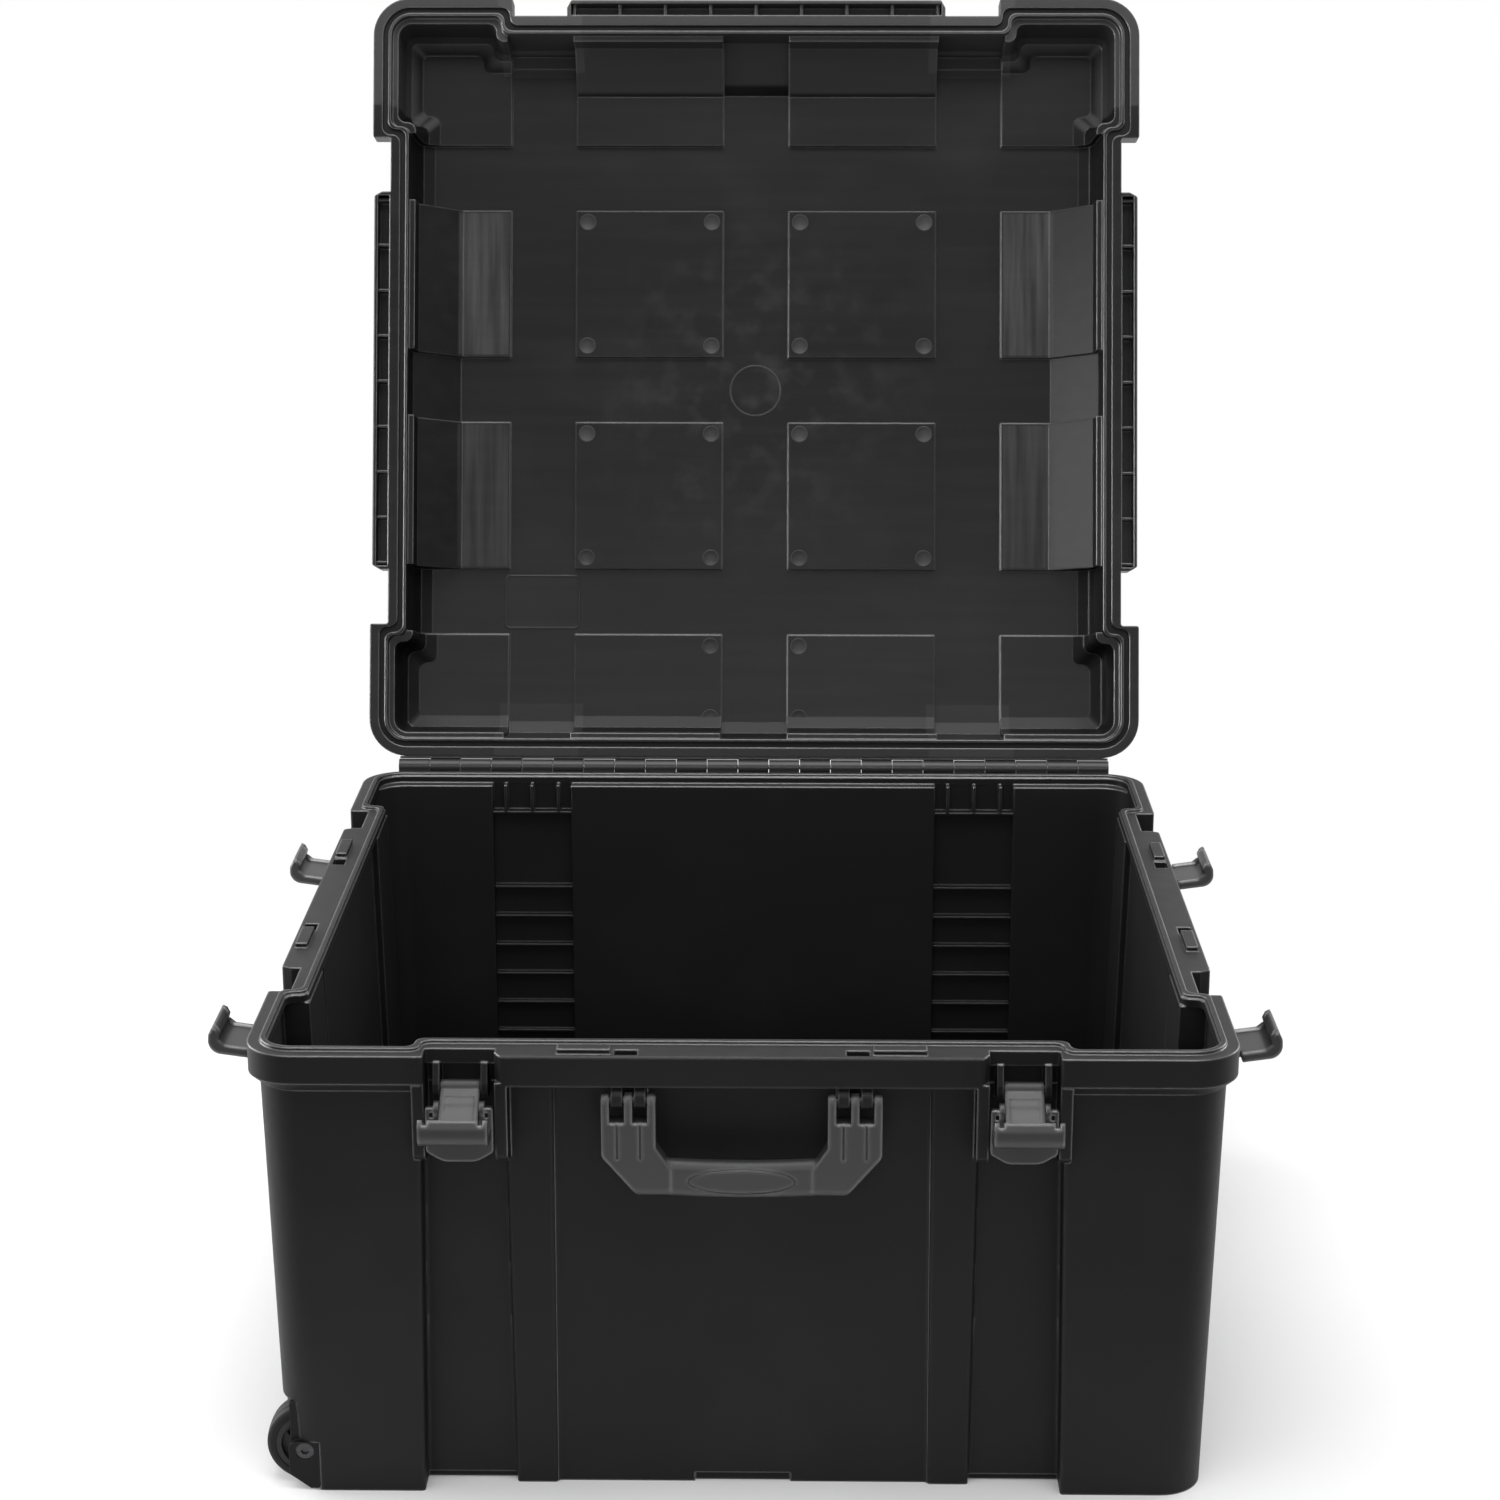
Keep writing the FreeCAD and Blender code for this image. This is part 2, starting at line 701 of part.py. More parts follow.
def lever():
    """Lever: a plate hanging plumb from two cheeks on the claw's second pin."""
    half, low, top = LEVER_HALF, -LEVER_L, LEVER_UP
    face = [
        (-half, top, 1.5), (-CHEEK[0], top), (-CHEEK[0], -LEVER_GAP, 2), (CHEEK[0], -LEVER_GAP, 2),
        (CHEEK[0], top), (half, top, 1.5), (half, low + 7, 4), (half / 2, low, 14),
        (-half / 2, low, 14), (-half, low + 7, 4),
    ]
    body = plate(face, 0.0, LEVER_T)
    ramp = [
        (0.0, CHEEK_R), (1.5, CHEEK_R - 0.2), (LEVER_T, 0), (LEVER_T, -LEVER_GAP), (0, -LEVER_GAP),
        (-CHEEK_R / 2, -CHEEK_R / 2), (-CHEEK_R / 2, 0),
    ]
    pieces = []
    for a, b in ((CHEEK[0], CHEEK[1]), (-CHEEK[1], -CHEEK[0])):
        pieces.append(rod(CHEEK_R, V(a, 0, 0), V(1, 0, 0), b - a))
        pieces.append(bar(ramp, a, b))
    body = body.fuse(pieces)
    cuts = [rod(PIN_B_R + TURN_FIT, V(-half, 0, 0), V(1, 0, 0), 2 * half)]
    s0, s1, z1, z0 = LEVER_HOLE
    for a, b in ((s0, s1), (-s1, -s0)):
        cuts.append(box(a, b, -LEVER_T - 1, 1, -z0, -z1))
    body = body.cut(cuts).removeSplitter()
    u, z = pin_b_place()
    body.translate(V(0, -u, z))
    return body


# Carry handle

def handle_pin(sign, fit, more):
    a = HANDLE_OPEN / 2 + 0.8 - more
    b = HANDLE_W / 2 - 0.8 + more
    start = a if sign > 0 else -b
    z = RIM_Z - HANDLE_PIN_DOWN
    return rod(HANDLE_PIN_R + fit, V(start, -handle_pin_u(), z), V(1, 0, 0), b - a)


def handle_arm():
    """Right arm: a plate with a haunch towards the grip and its outer lower corner cut off."""
    half, gap = HANDLE_W / 2, HANDLE_OPEN / 2
    top, low, grip = RIM_Z - HANDLE_TOP, RIM_Z - HANDLE_LOW, RIM_Z - HANDLE_GRIP
    inward, over, under = HAUNCH
    cut_s, cut_z = HANDLE_CUT
    u0, u1 = HANDLE_U
    face = [
        (gap, top, 2), (half, top, 2), (half, low + cut_z, 8), (half - cut_s, low, 8),
        (gap - inward, low), (gap - inward, grip - under), (gap, grip + over, 5),
    ]
    side = [(u0, low, 6), (u1, low, 6), (u1, top, 6.9), (u0, top, 6.9)]
    return plate(face, u0, u1).common(bar(side, -half - 1, half + 1))


def handle_grip():
    """Rounded bar between the arms, bowed down a little in the middle."""
    reach = HANDLE_OPEN / 2 + 2.0
    low, grip = RIM_Z - HANDLE_LOW - HANDLE_BOW, RIM_Z - HANDLE_GRIP - HANDLE_BOW
    u0, u1 = HANDLE_U[0], HANDLE_U[1] - HANDLE_BACK
    round_ = (u1 - u0) / 2 - 0.1
    profile = [(u0, low, round_), (u1, low, round_), (u1, grip, round_), (u0, grip, round_)]
    centre = V(0, 0, low + reach ** 2 / (2 * HANDLE_BOW))
    angle = math.degrees(math.asin(reach / (centre.z - low)))
    face = Part.Face(wire(profile, lambda u, z: V(0, -u, z)))
    face.rotate(centre, V(0, 1, 0), -angle)
    return face.revolve(centre, V(0, 1, 0), 2 * angle)


def oval(grow, u0, u1, z):
    """Elliptic prism on the middle of the grip."""
    ellipse = Part.Ellipse(V(0, 0, 0), OVAL[0] + grow, OVAL[1] + grow)
    shape = Part.Face(Part.Wire(ellipse.toShape())).extrude(V(0, 0, u1 - u0))
    shape.rotate(V(0, 0, 0), V(1, 0, 0), 90)
    shape.translate(V(0, -u0, z))
    return shape


def carry_handle():
    top, low = RIM_Z - HANDLE_TOP, RIM_Z - HANDLE_LOW
    u0, u1 = HANDLE_U
    arm = handle_arm()
    body = handle_grip().fuse([arm, arm.mirror(V(0, 0, 0), V(1, 0, 0))])
    cuts = []
    for sign in (-1, 1):
        for middle in prong_slots():
            s = sign * middle
            floor = top - PRONG_L
            cuts.append(box(s - PRONG_SLOT / 2, s + PRONG_SLOT / 2, -u1 - 1, -u0 + 1, floor, top + 1))
            thin = GROOVE_W / 2
            cuts.append(box(s - thin, s + thin, -u1 - 1, -u1 + 1.2, floor - GROOVE_L, floor + 1))
        cuts.append(handle_pin(sign, TURN_FIT, 2.0))
    front = u1 - HANDLE_BACK
    middle = (RIM_Z - HANDLE_GRIP + low) / 2 - HANDLE_BOW
    line = oval(0.0, front - 0.9, front + 5, middle)
    cuts.append(line.cut(oval(-OVAL_LINE, front - 2, front + 6, middle)))
    return put(body.cut(cuts).removeSplitter(), "front")


# Hinge

def knuckle_span(i):
    pitch = HINGE_L / HINGE_N
    x0 = -HINGE_L / 2 + i * pitch
    return x0 + KNUCKLE_GAP / 2, x0 + pitch - KNUCKLE_GAP / 2


def screw_down():
    return LEAF_START + LEAF_H / 2


def leaf_screw_places(first):
    return [sum(knuckle_span(i)) / 2 for i in range(first, HINGE_N, 4)]


def leaf_screw(x, z, fit):
    shank = rod(1.6 + fit, V(x, HALF_Y + LEAF_T + 0.2, z), V(0, -1, 0), 9.0 + fit)
    head = Part.makeCone(3.2 + fit, 1.6 + fit, 1.4, V(x, HALF_Y + LEAF_T + 0.2, z), V(0, -1, 0))
    return shank.fuse(head)


def hinge_leaf(up):
    """One leaf with every second knuckle; up is +1 for the lid's leaf and -1 for the tub's."""
    y0, y1 = HALF_Y, HALF_Y + LEAF_T
    base = LID_Z if up > 0 else RIM_Z
    z0 = base + up * LEAF_START
    z1 = z0 + up * LEAF_H
    leaf = box(-HINGE_L / 2, HINGE_L / 2, y0, y1, min(z0, z1), max(z0, z1))
    pieces = []
    for i in range(1 if up > 0 else 0, HINGE_N, 2):
        x0, x1 = knuckle_span(i)
        tab = [
            (y0, z0 + up * 3), (y1, z0 + up * 3), (HINGE_Y + 2.0, HINGE_Z + up * 6.0),
            (HINGE_Y + 2.0, HINGE_Z), (HINGE_Y - 6.2, HINGE_Z), (y1, z0 - up * 2.5), (y0, z0 - up * 2.5),
        ]
        pieces.append(bar([(-y, z) for y, z in tab], x0, x1))
        pieces.append(rod(KNUCKLE_R, V(x0, HINGE_Y, HINGE_Z), V(1, 0, 0), x1 - x0))
    fit = PIN_FIT if up < 0 else TURN_FIT
    cuts = [rod(ROD_R + fit, V(-HINGE_L, HINGE_Y, HINGE_Z), V(1, 0, 0), 2 * HINGE_L)]
    for x in leaf_screw_places(1 if up > 0 else 0):
        cuts.append(leaf_screw(x, base + up * screw_down(), PIN_FIT))
    return leaf.fuse(pieces).cut(cuts).removeSplitter()


# Lid, built shut and then swung open on the hinge

def opened(shape):
    moved = shape.copy()
    moved.rotate(V(0, HINGE_Y, HINGE_Z), V(1, 0, 0), -LID_OPEN)
    return moved


def bowl(grow):
    """Lid bowl that follows the rim into the ears, grown all round: drafted walls and a bent knee."""
    edge = LID_RIM_W - BEAD_OUT - grow
    floor = LID_Z + LID_RISE - WALL + grow
    stages = [(0.0, LID_Z - 0.01 if grow <= 0 else LID_Z)]
    stages += [(deep, floor - over) for deep, over in BOWL_WALL]
    steps = [
        taper(seal_line(edge + t0), z0, seal_line(edge + t1), z1)
        for (t0, z0), (t1, z1) in zip(stages, stages[1:])
    ]
    slopes = [put(bowl_slope(grow), side) for side in FACE]
    return steps[0].fuse(steps[1:]).cut(slopes)


def bowl_slope(grow):
    """What the slope behind a guard rail takes from the bowl, moved out with the bowl."""
    rise = LID_RISE - WALL - SLOPE_START
    run = SLOPE_W[1] - SLOPE_W[0]
    out = grow * rise / math.hypot(rise, run)
    up = grow * run / math.hypot(rise, run)
    u0, u1 = out - LID_RIM_W - SLOPE_W[0], out - LID_RIM_W - SLOPE_W[1]
    z0, z1 = LID_Z + SLOPE_START + up, LID_Z + SLOPE_START + rise + up
    far = (z1 + WALL - z0) / rise * run
    half = (PAD_PITCH + PAD) / 2 - grow
    return bar([(INSET, z0), (u0, z0), (u0 - far, z1 + WALL), (INSET, z1 + WALL)], -half, half)


def pad_boxes(shrink):
    half = PAD / 2 - shrink
    spots = [PAD_PITCH * k for k in (-1.5, -0.5, 0.5, 1.5)]
    z0, z1 = LID_Z + PAD_START, LID_Z + LID_RISE + WALL
    middle = SIDE_BACK
    return [
        box(x - half, x + half, middle + y - half, middle + y + half, z0, z1) for x in spots for y in spots
    ]


def lid_rail():
    """Hollow guard rail, open towards the tub's rail and ribbed across."""
    half = rail_half()
    top = LID_Z + LID_BAND
    body = rail_body(LID_Z, top)
    u0 = lid_channel_in()
    u1, low, high = u0 + LID_CHANNEL, LID_Z - 1, top - RAIL_TOP
    channel = bar([(u0, low), (u1, low), (u1, high), (u0, high)], -half + RAIL_WALL, half - RAIL_WALL)
    body = body.cut(channel)
    ribs = []
    count = int((half - RAIL_WALL) / LID_RIB_PITCH - 0.01)
    for i in range(-count, count + 1):
        s = i * LID_RIB_PITCH
        ribs.append(box(s - LID_RIB_T / 2, s + LID_RIB_T / 2, -u1, -u0, LID_Z + LID_RIB_IN, high))
    return body.fuse(ribs)


def groove_ring(side, z0, z1):
    outer = prism(seal_line(-side), z0, z1)
    return outer.cut(prism(seal_line(BEAD_W + side), z0 - 1, z1 + 1))


def latch_keeper():
    """Ledge on the lid's band that the claw's lip hooks over."""
    z = LID_Z + LID_BAND
    profile = [(-KEEPER_IN, z - 1), (0, z - 1), (0, z + KEEPER_H, 1.5), (-KEEPER_IN, z + KEEPER_H, 1)]
    return bar(profile, -ARM_HALF, ARM_HALF)


def lid_shell():
    hollow = bowl(0.0).cut(pad_boxes(0.0)).fuse(bowl(-PAD_RAISE))
    outside = bowl(WALL).cut(pad_boxes(WALL)).fuse(bowl(WALL - PAD_RAISE))
    band = prism(rim_outline(), LID_Z, LID_Z + LID_BAND)
    rails = [put(lid_rail(), side) for side in FACE]
    keepers = [put(at(latch_keeper(), s), side) for _, side, s in stations()]
    cuts = [hollow, groove_ring(GROOVE_SIDE, LID_Z - 0.01, LID_Z + GROOVE_H)]
    for x in leaf_screw_places(1):
        cuts.append(leaf_screw(x, LID_Z + screw_down(), PIN_FIT))
    return outside.fuse([band] + rails + keepers).cut(cuts).removeSplitter()


def lid_gasket():
    top = LID_Z + GROOVE_H
    return groove_ring(GROOVE_SIDE - SEAL_SIDE, top - SEAL_H, top)


# Wheels, in the front left corner; the back ones are their mirror images

def spun(profile):
    """Revolve a profile of (radius, distance along the axle)."""
    y0 = wheel_y()
    points = [(r, y) for r, y in profile]
    face = Part.Face(wire(points, lambda r, y: V(AXLE_X + r, y0 + y, WHEEL_Z)))
    return face.revolve(V(AXLE_X, y0, WHEEL_Z), V(0, 1, 0), 360)


def wheel_y():
    return -HALF_Y + HOUSE_Y + YOKE_T + WHEEL_SIDE


def wheel_tyre():
    w, r = WHEEL_W, WHEEL_R
    return spun([(r - 7, 0.5), (r - 3, 0.5), (r, 4.0), (r, w - 4.0), (r - 3, w - 0.5), (r - 7, w - 0.5)])


def wheel_hub():
    w, r = WHEEL_W, WHEEL_R - 7
    bore = AXLE_R + TURN_FIT
    body = spun([
        (bore, 0), (9, 0), (9, 6), (r - 4, 6), (r - 4, 1), (r, 1), (r, w - 1), (r - 4, w - 1),
        (r - 4, w - 6), (9, w - 6), (9, w), (bore, w),
    ])
    holes = []
    for i in range(6):
        a = math.radians(60 * i + 30)
        reach = (9 + r - 4) / 2
        x, z = AXLE_X + reach * math.cos(a), WHEEL_Z + reach * math.sin(a)
        holes.append(rod(2.6, V(x, wheel_y() - 1, z), V(0, 1, 0), w + 2))
    return body.cut(holes)


def wheel_yoke():
    """Bracket that holds the wheel: two cheeks under a top plate, and the pad seen in front."""
    y0 = -HALF_Y + HOUSE_Y
    y1 = y0 + 2 * YOKE_T + 2 * WHEEL_SIDE + WHEEL_W
    top = WHEEL_Z + WHEEL_R + WHEEL_ROOM + YOKE_T
    x0, x1 = AXLE_X - YOKE_HALF, AXLE_X + YOKE_HALF
    pieces = [
        box(x0, x1, y0, y0 + YOKE_T, PAD_LOW, top),
        box(x0, x1, y1 - YOKE_T, y1, PAD_LOW, top),
    ]
    bridge = box(x0, AXLE_X + WHEEL_R, y0, y1, top - YOKE_T, top)
    left, right, high = x0 - 1, -HALF_X + CUT_X - SEAT, CUT_H - SEAT
    face = [(left, PAD_LOW), (right, PAD_LOW, 2), (right, high, 2), (left, high, 5)]
    pad = plate(face, HALF_Y - HOUSE_Y - 1, HALF_Y - BODY_IN["front"] - DRAFT - 0.4)
    low, turn, side = PAD_CUT
    corner = [
        (left + low[0], 0.0), (left + turn[0], PAD_LOW + turn[1], 3),
        (left - 1, PAD_LOW + side[1]), (left - 1, 0.0),
    ]
    body = bridge.fuse(pieces + [pad]).cut(plate(corner, -y1 - 1, HALF_Y))
    hole = rod(AXLE_R + PIN_FIT, V(AXLE_X, -HALF_Y, WHEEL_Z), V(0, 1, 0), 80)
    head = rod(AXLE_HEAD + PIN_FIT, V(AXLE_X, -HALF_Y, WHEEL_Z), V(0, 1, 0), axle_seat() + HALF_Y)
    return body.cut([hole, head]).removeSplitter()


def axle_seat():
    return -HALF_Y + BODY_IN["front"] + DRAFT + 4.0


def wheel_axle():
    y1 = -HALF_Y + HOUSE_Y + 2 * YOKE_T + 2 * WHEEL_SIDE + WHEEL_W
    head = rod(AXLE_HEAD, V(AXLE_X, axle_seat() - 2.6, WHEEL_Z), V(0, 1, 0), 2.6)
    shank = rod(AXLE_R, V(AXLE_X, axle_seat() - 1, WHEEL_Z), V(0, 1, 0), y1 + WALL - 1.6 - axle_seat() + 1)
    corners = [math.radians(60 * i) for i in range(6)]
    hexagon = [(AXLE_X + SOCKET_R * math.cos(a), WHEEL_Z + SOCKET_R * math.sin(a)) for a in corners]
    return head.fuse(shank).cut(plate(hexagon, 0.6 - axle_seat(), HALF_Y))


# Telescopic handle

def tube(radius, thick, x0, x1, sign):
    start = V(x0, sign * TUBE_Y, TUBE_Z)
    outer = rod(radius, start, V(1, 0, 0), x1 - x0)
    return outer.cut(rod(radius - thick, V(x0 - 1, sign * TUBE_Y, TUBE_Z), V(1, 0, 0), x1 - x0 + 2))


def clamps():
    solids = []
    for x in CLAMP_X:
        for sign in (-1, 1):
            y = sign * TUBE_Y
            block = box(
                x - CLAMP_L / 2, x + CLAMP_L / 2, y - CHANNEL_HALF, y + CHANNEL_HALF, 1.0, CHANNEL_H,
            )
            bore = rod(TUBE_R + PIN_FIT, V(x - CLAMP_L, y, TUBE_Z), V(1, 0, 0), 2 * CLAMP_L)
            solids.append(block.cut(bore))
    holes = [rod(CLAMP_SCREW_R + PIN_FIT, V(x, y, 0), V(0, 0, 1), CHANNEL_H) for x, y in clamp_screws()]
    return Part.makeCompound([solid.cut(holes) for solid in solids])


def grip_x():
    outer = HALF_X - BODY_IN["right"] - DRAFT - MID_IN + GRIP_OUT
    return outer, outer + GRIP_T


def chamber(fit):
    """Inside of the grip round the button: half sizes along Y and X of the flange."""
    return BUTTON[0] / 2 + BUTTON_FLANGE + fit, BUTTON[1] / 2 + BUTTON_FLANGE + fit


def grip_block(half_y, half_x, z0, z1):
    x = sum(grip_x()) / 2
    return box(x - half_x, x + half_x, -half_y, half_y, z0, z1)


def grip():
    x0, x1 = grip_x()
    z0, z1 = GRIP_Z
    half = GRIP_HALF
    side = [(x0, z0, 4), (x1, z0, 6), (x1, z1, 6), (x0, z1, 4)]
    body = Part.Face(wire(side, lambda x, z: V(x, -half, z))).extrude(V(0, 2 * half, 0))
    plan = [(x0, -half, 1), (x1, -half, 8), (x1, half, 8), (x0, half, 1)]
    body = body.common(prism(plan, z0 - 1, z1 + 1))
    cuts = [
        grip_block(BUTTON[0] / 2 + BUTTON_GAP, BUTTON[1] / 2 + BUTTON_GAP, z0 - 1, z1 + 1),
        grip_block(*chamber(BUTTON_GAP), z0 - 1, z1 - 3.0),
    ]
    for sign in (-1, 1):
        cuts.append(rod(STAGE_R + PIN_FIT, V(x0 - 1, sign * TUBE_Y, TUBE_Z), V(1, 0, 0), GRIP_T - 3))
    return body.cut(cuts).removeSplitter()


def button():
    z1 = GRIP_Z[1]
    top = grip_block(BUTTON[0] / 2, BUTTON[1] / 2, z1 - 6.5, z1 + BUTTON_UP)
    flange = grip_block(*chamber(0.0), z1 - 6.5, z1 - 3.0 - 0.3)
    return top.fuse(flange).removeSplitter()


def grip_cover():
    return grip_block(*chamber(BUTTON_GAP - PIN_FIT), GRIP_Z[0] + 0.5, GRIP_Z[0] + 3.0)


def button_spring():
    """Coil of six-sided wire that rests on the cover and on the button's flange."""
    x = sum(grip_x()) / 2
    z0, z1 = GRIP_Z[0] + 3.0 + SPRING_WIRE, GRIP_Z[1] - 6.5 - SPRING_WIRE
    count = int(SPRING_TURNS * SPRING_STEPS)
    rings = []
    for i in range(count + 1):
        a = 2 * math.pi * i / SPRING_STEPS
        section = []
        for k in range(6):
            b = math.radians(60 * k + 30)
            r = SPRING_R + SPRING_WIRE * math.cos(b)
            z = z0 + (z1 - z0) * i / count + SPRING_WIRE * math.sin(b)
            section.append(V(x + r * math.cos(a), r * math.sin(a), z))
        rings.append(section)
    faces = [Part.Face(Part.makePolygon(end + end[:1])) for end in (rings[0], rings[-1])]
    for low, high in zip(rings, rings[1:]):
        for k in range(6):
            n = (k + 1) % 6
            faces.append(Part.Face(Part.makePolygon([low[k], low[n], high[n], low[k]])))
            faces.append(Part.Face(Part.makePolygon([low[k], high[n], high[k], low[k]])))
    solid = Part.Solid(Part.Shell(faces))
    if solid.Volume < 0:
        solid.reverse()
    print("spring gap between turns", round((z1 - z0) / SPRING_TURNS - 2 * SPRING_WIRE, 3))
    return solid


def save(name, shape):
    shape.exportStep("parts/" + name + ".step")


def main():
    save("tub_shell", tub_shell())
    save("hinge_leaf_tub", hinge_leaf(-1))
    save("hinge_rod", rod(ROD_R, V(-HINGE_L / 2, HINGE_Y, HINGE_Z), V(1, 0, 0), HINGE_L))
    tub_screws = [leaf_screw(x, RIM_Z - screw_down(), 0.0) for x in leaf_screw_places(0)]
    save("hinge_screws_tub", Part.makeCompound(tub_screws))

    save("lid_shell", opened(lid_shell()))
    save("lid_gasket", opened(lid_gasket()))
    save("hinge_leaf_lid", opened(hinge_leaf(1)))
    lid_screws = [leaf_screw(x, LID_Z + screw_down(), 0.0) for x in leaf_screw_places(1)]
    save("hinge_screws_lid", opened(Part.makeCompound(lid_screws)))

    pins = [put(at(pin_a_bar(0.0, 0.0), s), side) for _, side, s in stations()]
    save("latch_hinge_pins", Part.makeCompound(pins))
    claw, claw_pin, pull = swing(jaw()), pin_b(), lever()
    for name, side, s in stations():
        save("jaw_" + name, put(at(claw, s), side))
        save("lever_pin_" + name, put(at(claw_pin, s), side))
        save("lever_" + name, put(at(pull, s), side))

    save("carry_handle", carry_handle())
    handle_pins = [put(handle_pin(sign, 0.0, 0.0), "front") for sign in (-1, 1)]
    save("handle_pins", Part.makeCompound(handle_pins))

    for name, index in (("front", 0), ("back", 1)):
        save("wheel_tyre_" + name, both_ends(wheel_tyre())[index])
        save("wheel_hub_" + name, both_ends(wheel_hub())[index])
        save("wheel_bracket_" + name, both_ends(wheel_yoke())[index])
        save("wheel_axle_" + name, both_ends(wheel_axle())[index])

    for name, sign in (("front", -1), ("back", 1)):
        save("trolley_outer_tube_" + name, tube(TUBE_R, TUBE_T, TUBE_X[0], TUBE_X[1], sign))
        end = grip_x()[0] + GRIP_T - 4.0
        save("trolley_inner_tube_" + name, tube(STAGE_R, STAGE_T, STAGE_X, end, sign))
    save("tube_clamps", clamps())
    screws = [
        rod(CLAMP_SCREW_R, V(x, y, 1.0), V(0, 0, 1), CHANNEL_H + CHANNEL_WALL - 1.8 - 0.2)
        for x, y in clamp_screws()
    ]
    save("clamp_screws", Part.makeCompound(screws))
    save("trolley_grip", grip())
    save("grip_cover", grip_cover())
    save("release_button", button())
    save("button_spring", button_spring())


main()
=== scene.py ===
"""Looks of a large moulded trolley case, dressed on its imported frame."""

import json
import logging
import math
from dataclasses import dataclass
from enum import Enum
from functools import reduce
from typing import Optional, Sequence, Union

import bmesh
import bpy
import numpy as np
from mathutils import Matrix, Vector


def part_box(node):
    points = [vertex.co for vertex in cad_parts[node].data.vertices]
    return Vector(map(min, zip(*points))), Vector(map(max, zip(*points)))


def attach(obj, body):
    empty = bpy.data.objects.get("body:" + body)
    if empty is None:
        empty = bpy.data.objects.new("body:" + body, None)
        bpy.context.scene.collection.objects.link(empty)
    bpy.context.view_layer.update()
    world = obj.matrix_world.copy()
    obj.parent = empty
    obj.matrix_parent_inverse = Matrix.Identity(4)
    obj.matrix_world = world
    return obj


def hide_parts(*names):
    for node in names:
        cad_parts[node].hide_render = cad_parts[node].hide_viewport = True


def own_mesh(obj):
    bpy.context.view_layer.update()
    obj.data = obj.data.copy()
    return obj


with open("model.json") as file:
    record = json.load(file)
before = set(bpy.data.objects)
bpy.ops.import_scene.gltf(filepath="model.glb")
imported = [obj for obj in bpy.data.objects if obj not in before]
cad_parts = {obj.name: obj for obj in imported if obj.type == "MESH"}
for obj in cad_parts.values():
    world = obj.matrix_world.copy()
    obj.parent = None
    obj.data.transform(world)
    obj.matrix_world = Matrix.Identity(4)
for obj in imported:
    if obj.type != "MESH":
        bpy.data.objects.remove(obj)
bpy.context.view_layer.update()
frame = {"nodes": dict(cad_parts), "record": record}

LOG = logging.getLogger("trolley_case")
MM = 0.001

Socket = bpy.types.NodeSocket
Value = Union[float, Sequence[float], Socket]
Triple = tuple[float, float, float]
Edge = tuple[tuple[float, float], ...]

COAT_ROUGHNESS = 0.32
COAT_IOR = 2.4
# Pale grey of dust and flow lines; on the lid it is also painted as a reflection on the flats and as
# painted light on the front slope.
DUST_AND_SHEEN_GREY = (0.30, 0.30, 0.30, 1.0)
# Pale grey of worn edges and rims, also standing in as a painted highlight on the edges and a painted sheen
# on the rim.
RUBBED_AND_HIGHLIGHT_GREY = (0.34, 0.34, 0.34, 1.0)
# Cosines of the angle between a face's own and its rounded normal where the pale edge of worn plastic and
# painted highlight sets in and is full.
EDGE_COSINES = (0.985, 0.80)
# Share of the edges' pale grey that comes off the roughness.
RUBBED_SMOOTH = 0.3
BEVEL_SAMPLES = 4
BUMP_DEPTH = 0.15 * MM
DRAWN_BUMP = 0.1
SHARP_ANGLE = math.radians(40.0)
MERGE_DISTANCE = 1e-7


class Slot(Enum):
    """Material slots of the record that the pieces take their finish from."""

    CASE = "case_plastic"
    HINGE = "hinge_plastic"
    LATCH = "latch_plastic"
    HANDLE = "handle_plastic"
    FITTING = "fitting_plastic"
    BRACKET = "bracket_plastic"
    TYRE = "tyre_rubber"
    SEAL = "seal_rubber"
    TUBE = "tube_aluminium"
    STEEL = "fastener_steel"


class Way(Enum):
    """Direction of a node group's socket."""

    IN = "INPUT"
    OUT = "OUTPUT"


class Kind(Enum):
    """Type of a node group's socket."""

    NUMBER = "NodeSocketFloat"
    COLOUR = "NodeSocketColor"
    VECTOR = "NodeSocketVector"


class Axis(Enum):
    """Axis that a profile is turned about, by its number."""

    Y = 1
    Z = 2


